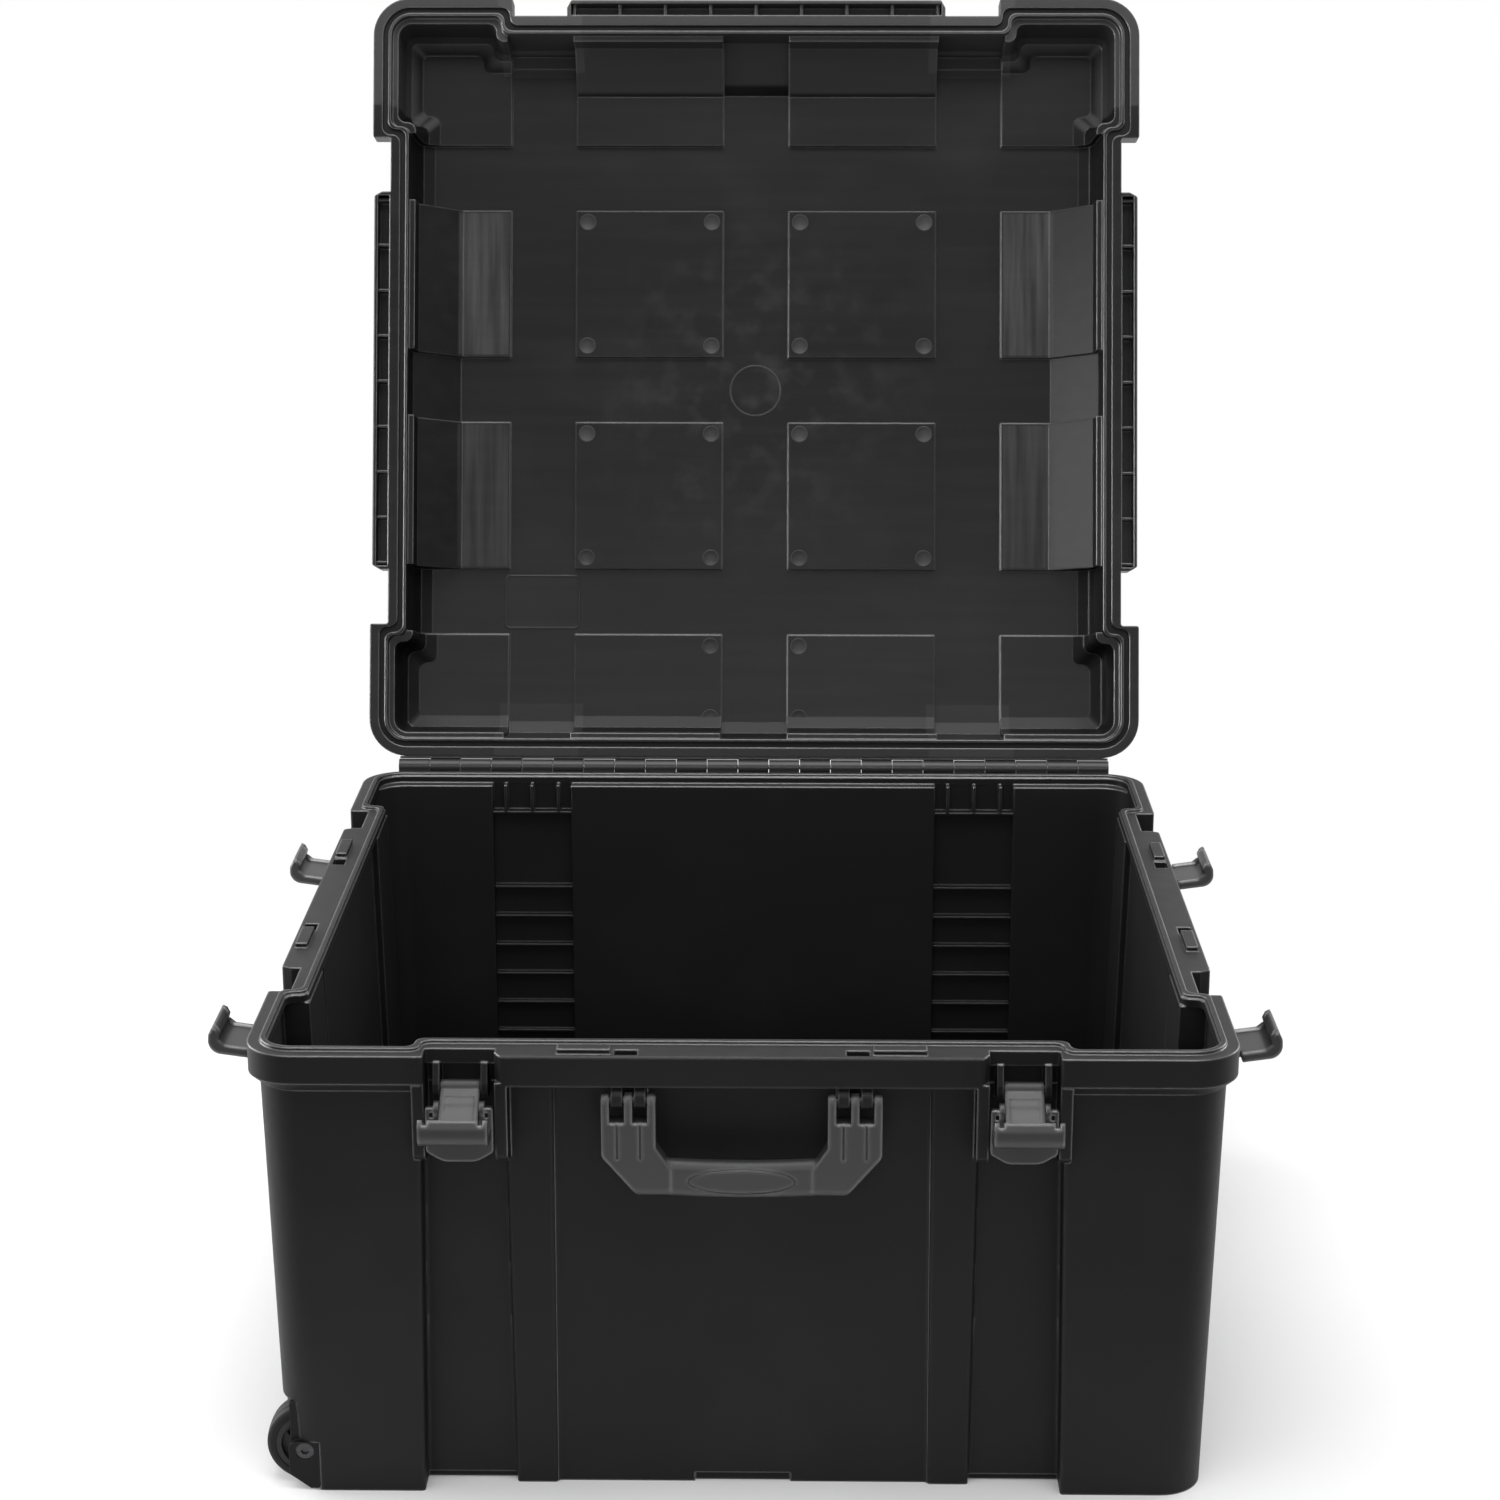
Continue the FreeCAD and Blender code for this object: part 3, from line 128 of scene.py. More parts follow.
class Wiring:
    """Short hand for adding and linking the nodes of one tree."""

    def __init__(self, tree: bpy.types.NodeTree) -> None:
        """Take the tree that the nodes go into."""
        self.tree = tree

    def add(self, kind: str, inputs: dict[Union[str, int], Value], **settings: object) -> bpy.types.Node:
        """Add one node.

        Args:
            kind: Blender's type name of the node.
            inputs: A value or a socket to link for each input, by name or number.
            **settings: Properties of the node itself.

        Returns:
            The new node.
        """
        made = self.tree.nodes.new(kind)
        for name, value in settings.items():
            setattr(made, name, value)
        for key, value in inputs.items():
            self.feed(made.inputs[key], value)
        return made

    def feed(self, target: Socket, value: Value) -> None:
        """Link a socket to an input, or set the input to a plain value.

        Args:
            target: The input.
            value: A socket to link, or the value.
        """
        if isinstance(value, Socket):
            self.tree.links.new(value, target)
        else:
            target.default_value = value

    def maths(self, operation: str, first: Value, second: Value = 0.0) -> Socket:
        """Work out one sum, product or the like of two numbers."""
        return self.add("ShaderNodeMath", {0: first, 1: second}, operation=operation).outputs[0]

    def chain(self, operation: str, *values: Value) -> Socket:
        """Work out one sum or product of several numbers, from the left."""
        return reduce(lambda first, second: self.maths(operation, first, second), values)

    def ramp(self, value: Socket, low: float, high: float, start: float = 0.0, end: float = 1.0) -> Socket:
        """Map a number from low..high to start..end, held at both ends."""
        inputs = {"Value": value, "From Min": low, "From Max": high, "To Min": start, "To Max": end}
        return self.add("ShaderNodeMapRange", inputs).outputs["Result"]

    def band(self, value: Socket, low: float, high: float, soft: float) -> Socket:
        """Find where a length lies between two others, with soft ends.

        Args:
            value: The length in metres.
            low: Lower end of the band in millimetres.
            high: Upper end of the band.
            soft: Half the length over which each end sets in.

        Returns:
            1 inside the band and 0 outside it.
        """
        rise = self.ramp(value, (low - soft) * MM, (low + soft) * MM)
        fall = self.ramp(value, (high - soft) * MM, (high + soft) * MM, 1.0, 0.0)
        return self.maths("MULTIPLY", rise, fall)

    def noise(
        self, place: Socket, scale: Value, detail: float = 3.0, stretch: Triple = (1.0, 1.0, 1.0),
    ) -> Socket:
        """Sample noise of one scale, its place stretched along the axes first.

        Args:
            place: Where on the piece to sample.
            scale: Grains per metre.
            detail: Octaves of the noise.
            stretch: Factor on each axis; a small one draws the grains out along it.

        Returns:
            The noise as a number from 0 to 1.
        """
        moved = self.add("ShaderNodeMapping", {"Vector": place, "Scale": stretch}).outputs["Vector"]
        inputs = {"Vector": moved, "Scale": scale, "Detail": detail}
        return self.add("ShaderNodeTexNoise", inputs).outputs["Fac"]

    def mixed(self, share: Value, first: Value, second: Value, blend: str = "MIX") -> Socket:
        """Mix two colours, which are inputs 6 and 7 and output 2 of the node, by a share."""
        inputs = {0: share, 6: first, 7: second}
        return self.add("ShaderNodeMix", inputs, data_type="RGBA", blend_type=blend).outputs[2]

    def between(self, share: Socket, first: Value, second: Value) -> Socket:
        """Mix two numbers, which are inputs 2 and 3 and output 0 of the node, by a share."""
        return self.add("ShaderNodeMix", {0: share, 2: first, 3: second}).outputs[0]


def group(name: str, sockets: Sequence[tuple[str, Way, Kind]]) -> tuple[bpy.types.NodeTree, bool]:
    """Find or start a shader node group.

    Args:
        name: Name of the group.
        sockets: Name, direction and type of each socket.

    Returns:
        The group, and True when it is new and still has to be filled.
    """
    found = bpy.data.node_groups.get(name)
    if found:
        return found, False
    made = bpy.data.node_groups.new(name, "ShaderNodeTree")
    for title, way, kind in sockets:
        made.interface.new_socket(name=title, in_out=way.value, socket_type=kind.value)
    made.nodes.new("NodeGroupInput").name = "In"
    made.nodes.new("NodeGroupOutput").name = "Out"
    return made, True


SURFACE_SOCKETS = (
    ("Place", Way.IN, Kind.VECTOR),
    ("Colour", Way.IN, Kind.COLOUR),
    ("Roughness", Way.IN, Kind.NUMBER),
    ("Colour", Way.OUT, Kind.COLOUR),
    ("Roughness", Way.OUT, Kind.NUMBER),
)


def moulded_grain() -> bpy.types.NodeTree:
    """Fine pebbled texture of a spark-eroded mould: rounded cells with finer noise over them.

    Returns:
        The node group with a Height output.
    """
    tree, new = group("moulded_grain", (
        ("Place", Way.IN, Kind.VECTOR),
        ("Scale", Way.IN, Kind.NUMBER),
        ("Height", Way.OUT, Kind.NUMBER),
    ))
    if not new:
        return tree
    wire = Wiring(tree)
    start, end = tree.nodes["In"].outputs, tree.nodes["Out"].inputs
    cells = wire.add(
        "ShaderNodeTexVoronoi", {"Vector": start["Place"], "Scale": start["Scale"]}, feature="SMOOTH_F1",
    )
    fine = wire.noise(start["Place"], start["Scale"], detail=3.0)
    tree.links.new(wire.maths("ADD", cells.outputs["Distance"], fine), end["Height"])
    return tree


def flow_marks() -> bpy.types.NodeTree:
    """Pale flow lines of the moulding and dusty smudges over a dark plastic.

    The lines are noise drawn out along X; the smudges are broad soft noise. Each is cut to its upper
    part, scaled by its share and mixed towards a pale grey. A smudge is a little rougher as well.

    Returns:
        The node group with Colour and Roughness outputs.
    """
    tree, new = group("flow_marks", (
        *SURFACE_SOCKETS, ("Streak", Way.IN, Kind.NUMBER), ("Dust", Way.IN, Kind.NUMBER),
    ))
    if not new:
        return tree
    wire = Wiring(tree)
    start, end = tree.nodes["In"].outputs, tree.nodes["Out"].inputs
    lines = wire.noise(start["Place"], scale=90.0, detail=5.0, stretch=(0.05, 1.0, 1.0))
    cloud = wire.noise(start["Place"], scale=11.0, detail=6.0)
    streak = wire.maths("MULTIPLY", wire.ramp(lines, low=0.42, high=0.8), start["Streak"])
    dust = wire.maths("MULTIPLY", wire.ramp(cloud, low=0.48, high=0.75), start["Dust"])
    share = wire.maths("ADD", streak, dust)
    tree.links.new(wire.mixed(share, start["Colour"], DUST_AND_SHEEN_GREY), end["Colour"])
    tree.links.new(wire.maths("ADD", start["Roughness"], dust), end["Roughness"])
    return tree


def edge_wear_and_highlight() -> bpy.types.NodeTree:
    """Edges worn pale and smooth by handling, the pale grey also a painted highlight.

    Soft is the normal rounded off over the edges. Where it leaves the face's own normal there is an edge;
    its share is broken up by noise, scaled by its input share and mixed towards a pale grey that is worn
    plastic and painted highlight at once. The same edge, unbroken and scaled by Gloss, is the weight of a
    burnished coat.

    Returns:
        The node group with Colour, Roughness and Coat outputs.
    """
    tree, new = group("edge_wear_and_highlight", (
        *SURFACE_SOCKETS, ("Soft", Way.IN, Kind.VECTOR), ("Wear", Way.IN, Kind.NUMBER),
        ("Gloss", Way.IN, Kind.NUMBER), ("Coat", Way.OUT, Kind.NUMBER),
    ))
    if not new:
        return tree
    wire = Wiring(tree)
    start, end = tree.nodes["In"].outputs, tree.nodes["Out"].inputs
    face = tree.nodes.new("ShaderNodeNewGeometry").outputs["Normal"]
    alike = wire.add("ShaderNodeVectorMath", {0: start["Soft"], 1: face}, operation="DOT_PRODUCT")
    edge = wire.ramp(alike.outputs["Value"], *EDGE_COSINES)
    cloud = wire.noise(start["Place"], scale=140.0, detail=4.0)
    patchy = wire.ramp(cloud, low=0.3, high=0.7, start=0.35, end=1.0)
    # Pale edge: worn plastic and a painted highlight at once.
    share = wire.chain("MULTIPLY", edge, patchy, start["Wear"])
    tree.links.new(wire.mixed(share, start["Colour"], RUBBED_AND_HIGHLIGHT_GREY), end["Colour"])
    smooth = wire.maths("MULTIPLY", share, RUBBED_SMOOTH)
    tree.links.new(wire.maths("SUBTRACT", start["Roughness"], smooth), end["Roughness"])
    tree.links.new(wire.maths("MULTIPLY", edge, start["Gloss"]), end["Coat"])
    return tree


def drawn_lines() -> bpy.types.NodeTree:
    """Fine lines that drawing leaves along a metal tube or rod: noise drawn out along X.

    Returns:
        The node group with Colour, Roughness and Height outputs.
    """
    tree, new = group("drawn_lines", (*SURFACE_SOCKETS, ("Height", Way.OUT, Kind.NUMBER)))
    if not new:
        return tree
    wire = Wiring(tree)
    start, end = tree.nodes["In"].outputs, tree.nodes["Out"].inputs
    lines = wire.noise(start["Place"], scale=900.0, detail=4.0, stretch=(0.02, 1.0, 1.0))
    shade = wire.ramp(lines, low=0.3, high=0.7, start=0.75, end=1.3)
    tree.links.new(wire.mixed(1.0, start["Colour"], shade, blend="MULTIPLY"), end["Colour"])
    spread = wire.ramp(lines, low=0.2, high=0.8, start=-0.08, end=0.10)
    tree.links.new(wire.maths("ADD", start["Roughness"], spread), end["Roughness"])
    tree.links.new(lines, end["Height"])
    return tree


def lid_marks_and_light(lid: "Lid") -> bpy.types.NodeTree:
    """Marks of the lid's mould, insert patches and smudges round the gate, with painted light: a painted
    reflection on the flats beside the rails and a paler painted slope.

    Place is in metres with the lid shut. A flat is the band of X next to a side pad's edge, in the two
    middle rows, its painted reflection streaked along Y; a patch is a box over a lane's end; a smudge is
    noise that fades with the distance from the lid's middle. The slope at the lid's front edge is painted a
    little paler, as painted light on its tilted face.

    Args:
        lid: The lid, for the sizes of its pads and lanes.

    Returns:
        The node group with Colour and Roughness outputs.
    """
    tree, new = group("lid_marks_and_light", SURFACE_SOCKETS)
    if not new:
        return tree
    wire = Wiring(tree)
    start, end = tree.nodes["In"].outputs, tree.nodes["Out"].inputs
    parts = wire.add("ShaderNodeSeparateXYZ", {0: start["Place"]}).outputs
    across = wire.maths("ABSOLUTE", parts["X"])
    along = wire.maths("SUBTRACT", parts["Y"], lid.middle_y * MM)
    away = wire.maths("ABSOLUTE", along)

    def below(rise: tuple[float, float]) -> Socket:
        """Give 1 below the first of two heights over the pads' face and 0 above the second."""
        low, high = ((lid.pad_z + height) * MM for height in rise)
        return wire.ramp(parts["Z"], low, high, 1.0, 0.0)

    edge = lid.pitch * 1.5 - lid.pad / 2
    row_from, row_to = lid.pitch / 2 - lid.pad / 2, lid.pitch / 2 + lid.pad / 2
    # Painted reflection: the flats beside the side pads are painted pale in streaks, standing in for lamps
    # mirrored in the flat faces.
    side = wire.band(across, edge + lid.flat_gap, edge + lid.flat_w, lid.flat_soft)
    row = wire.band(away, row_from + lid.flat_gap, row_to - lid.flat_gap, lid.flat_soft)
    lines = wire.noise(start["Place"], scale=160.0, detail=4.0, stretch=(1.0, 0.05, 0.05))
    streaks = wire.ramp(lines, low=0.35, high=0.7, start=0.25, end=1.0)
    glow = wire.ramp(along, -lid.glow_y * MM, lid.glow_y * MM, 1.0, lid.glow_end)
    flat = wire.chain("MULTIPLY", side, row, below(lid.flat_rise), streaks, glow)
    lane = wire.band(across, lid.pitch - lid.patch_w / 2, lid.pitch + lid.patch_w / 2, lid.patch_soft)
    end_of_lane = wire.band(away, lid.patch_from, lid.patch_from + lid.patch_length, lid.patch_soft)
    patch = wire.maths("MULTIPLY", lane, end_of_lane)
    squares = (wire.maths("MULTIPLY", length, length) for length in (across, along))
    spread = wire.maths("SQRT", wire.maths("ADD", *squares))
    near = wire.ramp(spread, *(radius * MM for radius in lid.smudge_r), 1.0, 0.0)
    cloud = wire.noise(start["Place"], scale=42.0, detail=6.0)
    smudge = wire.maths("MULTIPLY", near, wire.ramp(cloud, low=0.5, high=0.8))
    # Painted light: the slope at the front edge is painted paler, as light falls on its tilted face.
    front = wire.ramp(along, -lid.slope_y * MM, (lid.slope_soft - lid.slope_y) * MM, 1.0, 0.0)
    slope = wire.maths("MULTIPLY", below(lid.slope_rise), front)
    share = wire.chain("ADD", *(wire.maths("MULTIPLY", mark, pale) for mark, pale in (
        (flat, lid.flat_painted_sheen), (patch, lid.patch_pale), (slope, lid.slope_painted_light), (smudge, lid.smudge_pale),
    )))
    tree.links.new(wire.mixed(share, start["Colour"], DUST_AND_SHEEN_GREY), end["Colour"])
    tree.links.new(wire.maths("ADD", start["Roughness"], share), end["Roughness"])
    return tree


def tub_sheen_and_shade(tub: "Tub") -> bpy.types.NodeTree:
    """Painted light on the tub: its rim painted pale where it looks up, as a painted sheen, and painted
    shade on the edges inside the back wall.

    The rim is where Z is near the top and the face looks up; its pale grey is a painted sheen of the light
    from above. The third output is 1 but for the ladder channels on the back wall's inside, which are found
    by Y and Z; there it cuts back the edges' pale grey and coat as painted shade.

    Args:
        tub: The tub, for the heights of its rim and the place of its back wall.

    Returns:
        The node group with Colour and Roughness outputs and the mask of the edges not painted in shade.
    """
    tree, new = group("tub_sheen_and_shade", (*SURFACE_SOCKETS, ("EdgeLit", Way.OUT, Kind.NUMBER)))
    if not new:
        return tree
    wire = Wiring(tree)
    start, end = tree.nodes["In"].outputs, tree.nodes["Out"].inputs
    parts = wire.add("ShaderNodeSeparateXYZ", {0: start["Place"]}).outputs
    face = tree.nodes.new("ShaderNodeNewGeometry").outputs["Normal"]
    # Painted sheen: upward faces near the top of the rim go pale, standing in for the light from above.
    up = wire.ramp(wire.add("ShaderNodeSeparateXYZ", {0: face}).outputs["Z"], low=0.3, high=0.9)
    top = wire.ramp(parts["Z"], *(height * MM for height in tub.rim_z))
    cloud = wire.noise(start["Place"], scale=60.0, detail=5.0)
    patchy = wire.ramp(cloud, low=0.3, high=0.7, start=0.7, end=1.0)
    share = wire.chain("MULTIPLY", up, top, patchy, tub.rim_sheen)
    tree.links.new(wire.mixed(share, start["Colour"], RUBBED_AND_HIGHLIGHT_GREY), end["Colour"])
    tree.links.new(start["Roughness"], end["Roughness"])
    # Painted shade: the ladder ledges inside the back wall lose most of their pale edge and coat, as if in
    # shade.
    back = wire.ramp(parts["Y"], *(place * MM for place in tub.back_y[:2]))
    front = wire.ramp(parts["Y"], *(place * MM for place in tub.back_y[2:]), 1.0, 0.0)
    below = wire.ramp(parts["Z"], *(height * MM for height in tub.shade_z), 1.0, 0.0)
    shaded = wire.chain("MULTIPLY", back, front, below)
    tree.links.new(wire.ramp(shaded, 0.0, 1.0, 1.0, tub.shaded_edge_share), end["EdgeLit"])
    return tree


@dataclass(frozen=True)
class Finish:
    """One surface finish: a Principled shader with grain, marks, and worn edges whose pale grey is also a
    painted highlight.

    Attributes:
        name: Name of the material.
        colour: Linear base colour.
        roughness: Mean roughness.
        specular: Specular level of the shader.
        metallic: 1 for bare metal.
        grain: Strength of the moulded texture.
        grain_size: Size of one grain in millimetres.
        edge: Radius that edges look rounded to, in millimetres.
        wear_and_highlight: Share of pale grey on the edges, worn plastic and painted highlight at once.
        gloss: Weight of the burnished coat on the edges.
        streak: Share of pale flow lines.
        dust: Share of dust and smudges.
        drawn: True for metal with drawing lines.
    """

    name: str
    colour: Triple
    roughness: float
    specular: float = 0.25
    metallic: float = 0.0
    grain: float = 0.0
    grain_size: float = 0.8
    edge: float = 0.9
    wear_and_highlight: float = 0.0
    gloss: float = 0.0
    streak: float = 0.0
    dust: float = 0.0
    drawn: bool = False

    def relief(self, wire: Wiring, place: Socket, soft: Socket, lines: Optional[Socket]) -> Socket:
        """Lay the grain, or else the drawing lines, over the normal.

        Args:
            wire: The material's wiring.
            place: Where on the piece the grain is sampled.
            soft: The normal, rounded off over the edges.
            lines: Height of the drawing lines, where the finish has them.

        Returns:
            The normal with its bumps.
        """
        height = lines
        if self.grain:
            inputs = {"Place": place, "Scale": 1.0 / (self.grain_size * MM)}
            height = wire.add("ShaderNodeGroup", inputs, node_tree=moulded_grain()).outputs["Height"]
        if height is None:
            return soft
        strength = self.grain or DRAWN_BUMP
        inputs = {"Strength": strength, "Distance": BUMP_DEPTH, "Height": height, "Normal": soft}
        return wire.add("ShaderNodeBump", inputs).outputs["Normal"]

    def material(self, shell: Optional["Shell"] = None) -> bpy.types.Material:
        """Build the material once and hand it out again after that.

        Args:
            shell: The tub or the lid, for a finish with that shell's own marks and painted light.

        Returns:
            The Blender material of this finish.
        """
        found = bpy.data.materials.get(self.name)
        if found:
            return found
        made = bpy.data.materials.new(self.name)
        made.use_nodes = True
        wire = Wiring(made.node_tree)
        shader = made.node_tree.nodes["Principled BSDF"]
        shader.inputs["Metallic"].default_value = self.metallic
        shader.inputs["Specular IOR Level"].default_value = self.specular
        shader.inputs["Coat Roughness"].default_value = COAT_ROUGHNESS
        shader.inputs["Coat IOR"].default_value = COAT_IOR
        place = wire.add("ShaderNodeTexCoord", {}).outputs["Object"]
        if shell:
            place = shell.own_place(wire, place)
        bevel = wire.add("ShaderNodeBevel", {"Radius": self.edge * MM}, samples=BEVEL_SAMPLES)
        soft = bevel.outputs["Normal"]
        surface: dict[str, Value] = {"Colour": (*self.colour, 1.0), "Roughness": self.roughness}
        lines: Optional[Socket] = None

        def through(tree: bpy.types.NodeTree, **own: Value) -> bpy.types.Node:
            """Pass the surface through one shared effect.

            Args:
                tree: The effect's node group.
                **own: Values for the inputs that only this effect has.

            Returns:
                The group's node.
            """
            effect = wire.add("ShaderNodeGroup", {"Place": place, **surface, **own}, node_tree=tree)
            surface.update({key: effect.outputs[key] for key in surface})
            return effect

        if self.drawn:
            lines = through(drawn_lines()).outputs["Height"]
        if self.streak or self.dust:
            through(flow_marks(), Streak=self.streak, Dust=self.dust)
        wear_and_highlight: Value = self.wear_and_highlight
        gloss: Value = self.gloss
        if shell:
            marked = through(shell.marks()).outputs
            # Where the shell's marks paint its edges in shade, their pale grey and coat are cut back.
            if "EdgeLit" in marked:
                wear_and_highlight, gloss = (wire.maths("MULTIPLY", marked["EdgeLit"], own) for own in (wear_and_highlight, gloss))
        # Pale edges: worn plastic and a painted highlight at once, with a burnished coat.
        if self.wear_and_highlight:
            worn = through(edge_wear_and_highlight(), Soft=soft, Wear=wear_and_highlight, Gloss=gloss)
            wire.feed(shader.inputs["Coat Weight"], worn.outputs["Coat"])
        wire.feed(shader.inputs["Base Color"], surface["Colour"])
        wire.feed(shader.inputs["Roughness"], surface["Roughness"])
        normal = self.relief(wire, place, soft, lines)
        wire.feed(shader.inputs["Normal"], normal)
        if self.gloss:
            wire.feed(shader.inputs["Coat Normal"], normal)
        return made


SHELL = Finish(
    "textured_black", (0.0078, 0.0078, 0.0081), roughness=0.55, specular=0.22, grain=0.30, grain_size=0.9,
    edge=2.2, wear_and_highlight=0.28, gloss=1.0, dust=0.010,
)
LID = Finish(
    "smooth_black", (0.0050, 0.0050, 0.0052), roughness=0.34, specular=0.23, grain=0.04, edge=2.2,
    wear_and_highlight=0.30, gloss=1.0, streak=0.016, dust=0.016,
)
CLAW = Finish(
    "claw_black", (0.0330, 0.0330, 0.0336), roughness=0.38, specular=0.50, grain=0.10, grain_size=0.7,
    edge=4.0, wear_and_highlight=0.12, gloss=1.0, dust=0.012,
)
LEVER = Finish(
    "lever_black", (0.0300, 0.0300, 0.0306), roughness=0.36, specular=0.50, grain=0.10, grain_size=0.7,
    edge=2.8, wear_and_highlight=0.12, gloss=1.0, dust=0.015,
)
GRIP = Finish(
    "handle_black", (0.0420, 0.0420, 0.0427), roughness=0.36, specular=0.50, grain=0.18, edge=4.5,
    wear_and_highlight=0.10, gloss=0.9, dust=0.012,
)
STRIP = Finish(
    "hinge_black", (0.0220, 0.0220, 0.0224), roughness=0.34, specular=0.45, grain=0.08, edge=0.8,
    wear_and_highlight=0.20, gloss=0.9, streak=0.02,
)
FITTING = Finish(
    "fitting_grey", (0.0220, 0.0220, 0.0230), roughness=0.45, grain=0.20, edge=0.8, wear_and_highlight=0.25, dust=0.015,
)
BRACKET = Finish(
    "bracket_black", (0.0070, 0.0070, 0.0073), roughness=0.46, specular=0.15, grain=0.20, wear_and_highlight=0.25,
    dust=0.02,
)
TYRE = Finish(
    "tyre_black", (0.010, 0.010, 0.010), roughness=0.60, specular=0.2, grain=0.20, grain_size=0.6,
    dust=0.05,
)
SEAL = Finish(
    "seal_black", (0.009, 0.009, 0.009), roughness=0.58, specular=0.2, grain=0.10, grain_size=0.5,
    dust=0.02,
)
TUBE = Finish(
    "drawn_aluminium", (0.52, 0.53, 0.54), roughness=0.30, specular=0.5, metallic=1.0, edge=0.3, drawn=True,
)
STEEL = Finish(
    "dark_steel", (0.070, 0.070, 0.073), roughness=0.36, specular=0.5, metallic=1.0, edge=0.25, wear_and_highlight=0.3,
    drawn=True,
)
PLATE = Finish(
    "mould_plate_black", (0.0100, 0.0100, 0.0103), roughness=0.38, specular=0.23, grain=0.06, edge=1.6,
    wear_and_highlight=0.35, gloss=1.0, streak=0.016, dust=0.016,
)
MARKS = Finish(
    "mould_mark_grey", (0.0320, 0.0320, 0.0326), roughness=0.42, specular=0.25, grain=0.25, grain_size=0.6,
    edge=0.8, wear_and_highlight=0.20, gloss=1.0, dust=0.06,
)

FINISHES: dict[Slot, Finish] = {
    Slot.CASE: SHELL, Slot.HINGE: STRIP, Slot.LATCH: LEVER, Slot.HANDLE: GRIP,
    Slot.FITTING: FITTING, Slot.BRACKET: BRACKET, Slot.TYRE: TYRE, Slot.SEAL: SEAL,
    Slot.TUBE: TUBE, Slot.STEEL: STEEL,
}
NODE_SLOTS = {part["node"]: Slot(part["material_slot"]) for part in frame["record"]["subparts"]}


def grid_faces(rows: int, columns: int, loop: bool) -> np.ndarray:
    """Number the quads of a grid whose columns close on themselves.

    Args:
        rows: Points along the profile.
        columns: Points round the path, which closes.
        loop: True when the profile closes too.

    Returns:
        An array of four point numbers for each quad.
    """
    i = np.arange(rows if loop else rows - 1)[:, None]
    j = np.arange(columns)[None, :]
    below, beside = (i + 1) % rows, (j + 1) % columns
    quads = (i * columns + j, below * columns + j, below * columns + beside, i * columns + beside)
    return np.stack(np.broadcast_arrays(*quads), axis=-1).reshape(-1, 4)


def grid_mesh(name: str, points: np.ndarray, loop: bool) -> bpy.types.Mesh:
    """Make one mesh of any number of like grids.

    Args:
        name: Name of the mesh.
        points: Points in metres, as copies by rows by columns by 3.
        loop: True when the profile, which runs along the rows, closes on itself.

    Returns:
        The mesh, its poles closed and its faces turned outwards.
    """
    copies, rows, columns = points.shape[:3]
    quads = grid_faces(rows, columns, loop)
    quads = (quads[None] + (np.arange(copies) * rows * columns)[:, None, None]).reshape(-1, 4)
    mesh = bpy.data.meshes.new(name)
    mesh.vertices.add(copies * rows * columns)
    mesh.vertices.foreach_set("co", points.astype(np.float32).ravel())
    mesh.loops.add(quads.size)
    mesh.loops.foreach_set("vertex_index", quads.astype(np.int32).ravel())
    mesh.polygons.add(len(quads))
    mesh.polygons.foreach_set("loop_start", np.arange(0, quads.size, 4, dtype=np.int32))
    mesh.update(calc_edges=True)
    work = bmesh.new()
    work.from_mesh(mesh)
    bmesh.ops.remove_doubles(work, verts=work.verts, dist=MERGE_DISTANCE)
    bmesh.ops.recalc_face_normals(work, faces=work.faces)
    work.to_mesh(mesh)
    work.free()
    mesh.validate()
    return mesh


def turned(profile: np.ndarray, centres: np.ndarray, axis: Axis, steps: int) -> np.ndarray:
    """Turn a profile about an axis at each of several centres.

    A point of the profile at radius r and height h goes to the centre plus r times the cosine and
    sine of the angle across the axis, plus h along it.

    Args:
        profile: Radius and height of each point, in millimetres.
        centres: Points that the copies are turned about, in millimetres.
        axis: The axis.
        steps: Points round the circle.

    Returns:
        Points in millimetres, as copies by rows by columns by 3.
    """
    angle = np.linspace(0.0, 2.0 * math.pi, steps, endpoint=False)
    radius, height = profile[:, 0, None], profile[:, 1, None]
    across = (radius * np.cos(angle), radius * np.sin(angle))
    along = np.broadcast_to(height, across[0].shape)
    order = (across[0], along, across[1]) if axis is Axis.Y else (across[0], across[1], along)
    return np.stack(order, axis=-1)[None] + centres[:, None, None, :]


def rounded_plate(profile: np.ndarray, width: float, depth: float, radius: float, steps: int) -> np.ndarray:
    """Carry a profile round a rectangle with round corners.

    A corner's centre lies its radius in from both sides; the outline is the corner centre plus the
    radius, less the profile's inset, along the angle. An inset past the radius draws the outline in
    towards the middle in the same proportion.

    Args:
        profile: Inset from the outline and height of each point, in millimetres.
        width: Length of the rectangle along X.
        depth: Length along Y.
        radius: Radius of its corners.
        steps: Points round each corner.

    Returns:
        Points in millimetres about the plate's centre, as 1 by rows by columns by 3.
    """
    quarter = np.linspace(0.0, math.pi / 2, steps)
    angle = (quarter[None, :] + np.arange(4)[:, None] * math.pi / 2).ravel()
    sign_x = np.repeat(np.array([1.0, -1.0, -1.0, 1.0]), steps)
    sign_y = np.repeat(np.array([1.0, 1.0, -1.0, -1.0]), steps)
    inset, height = profile[:, 0, None], profile[:, 1, None]
    shrink = np.clip(1.0 - np.maximum(inset - radius, 0.0) / (depth / 2 - radius), 0.0, 1.0)
    reach = np.maximum(radius - inset, 0.0)
    x = shrink * sign_x * (width / 2 - radius) + reach * np.cos(angle)
    y = shrink * sign_y * (depth / 2 - radius) + reach * np.sin(angle)
    return np.stack((x, y, np.broadcast_to(height, x.shape)), axis=-1)[None]


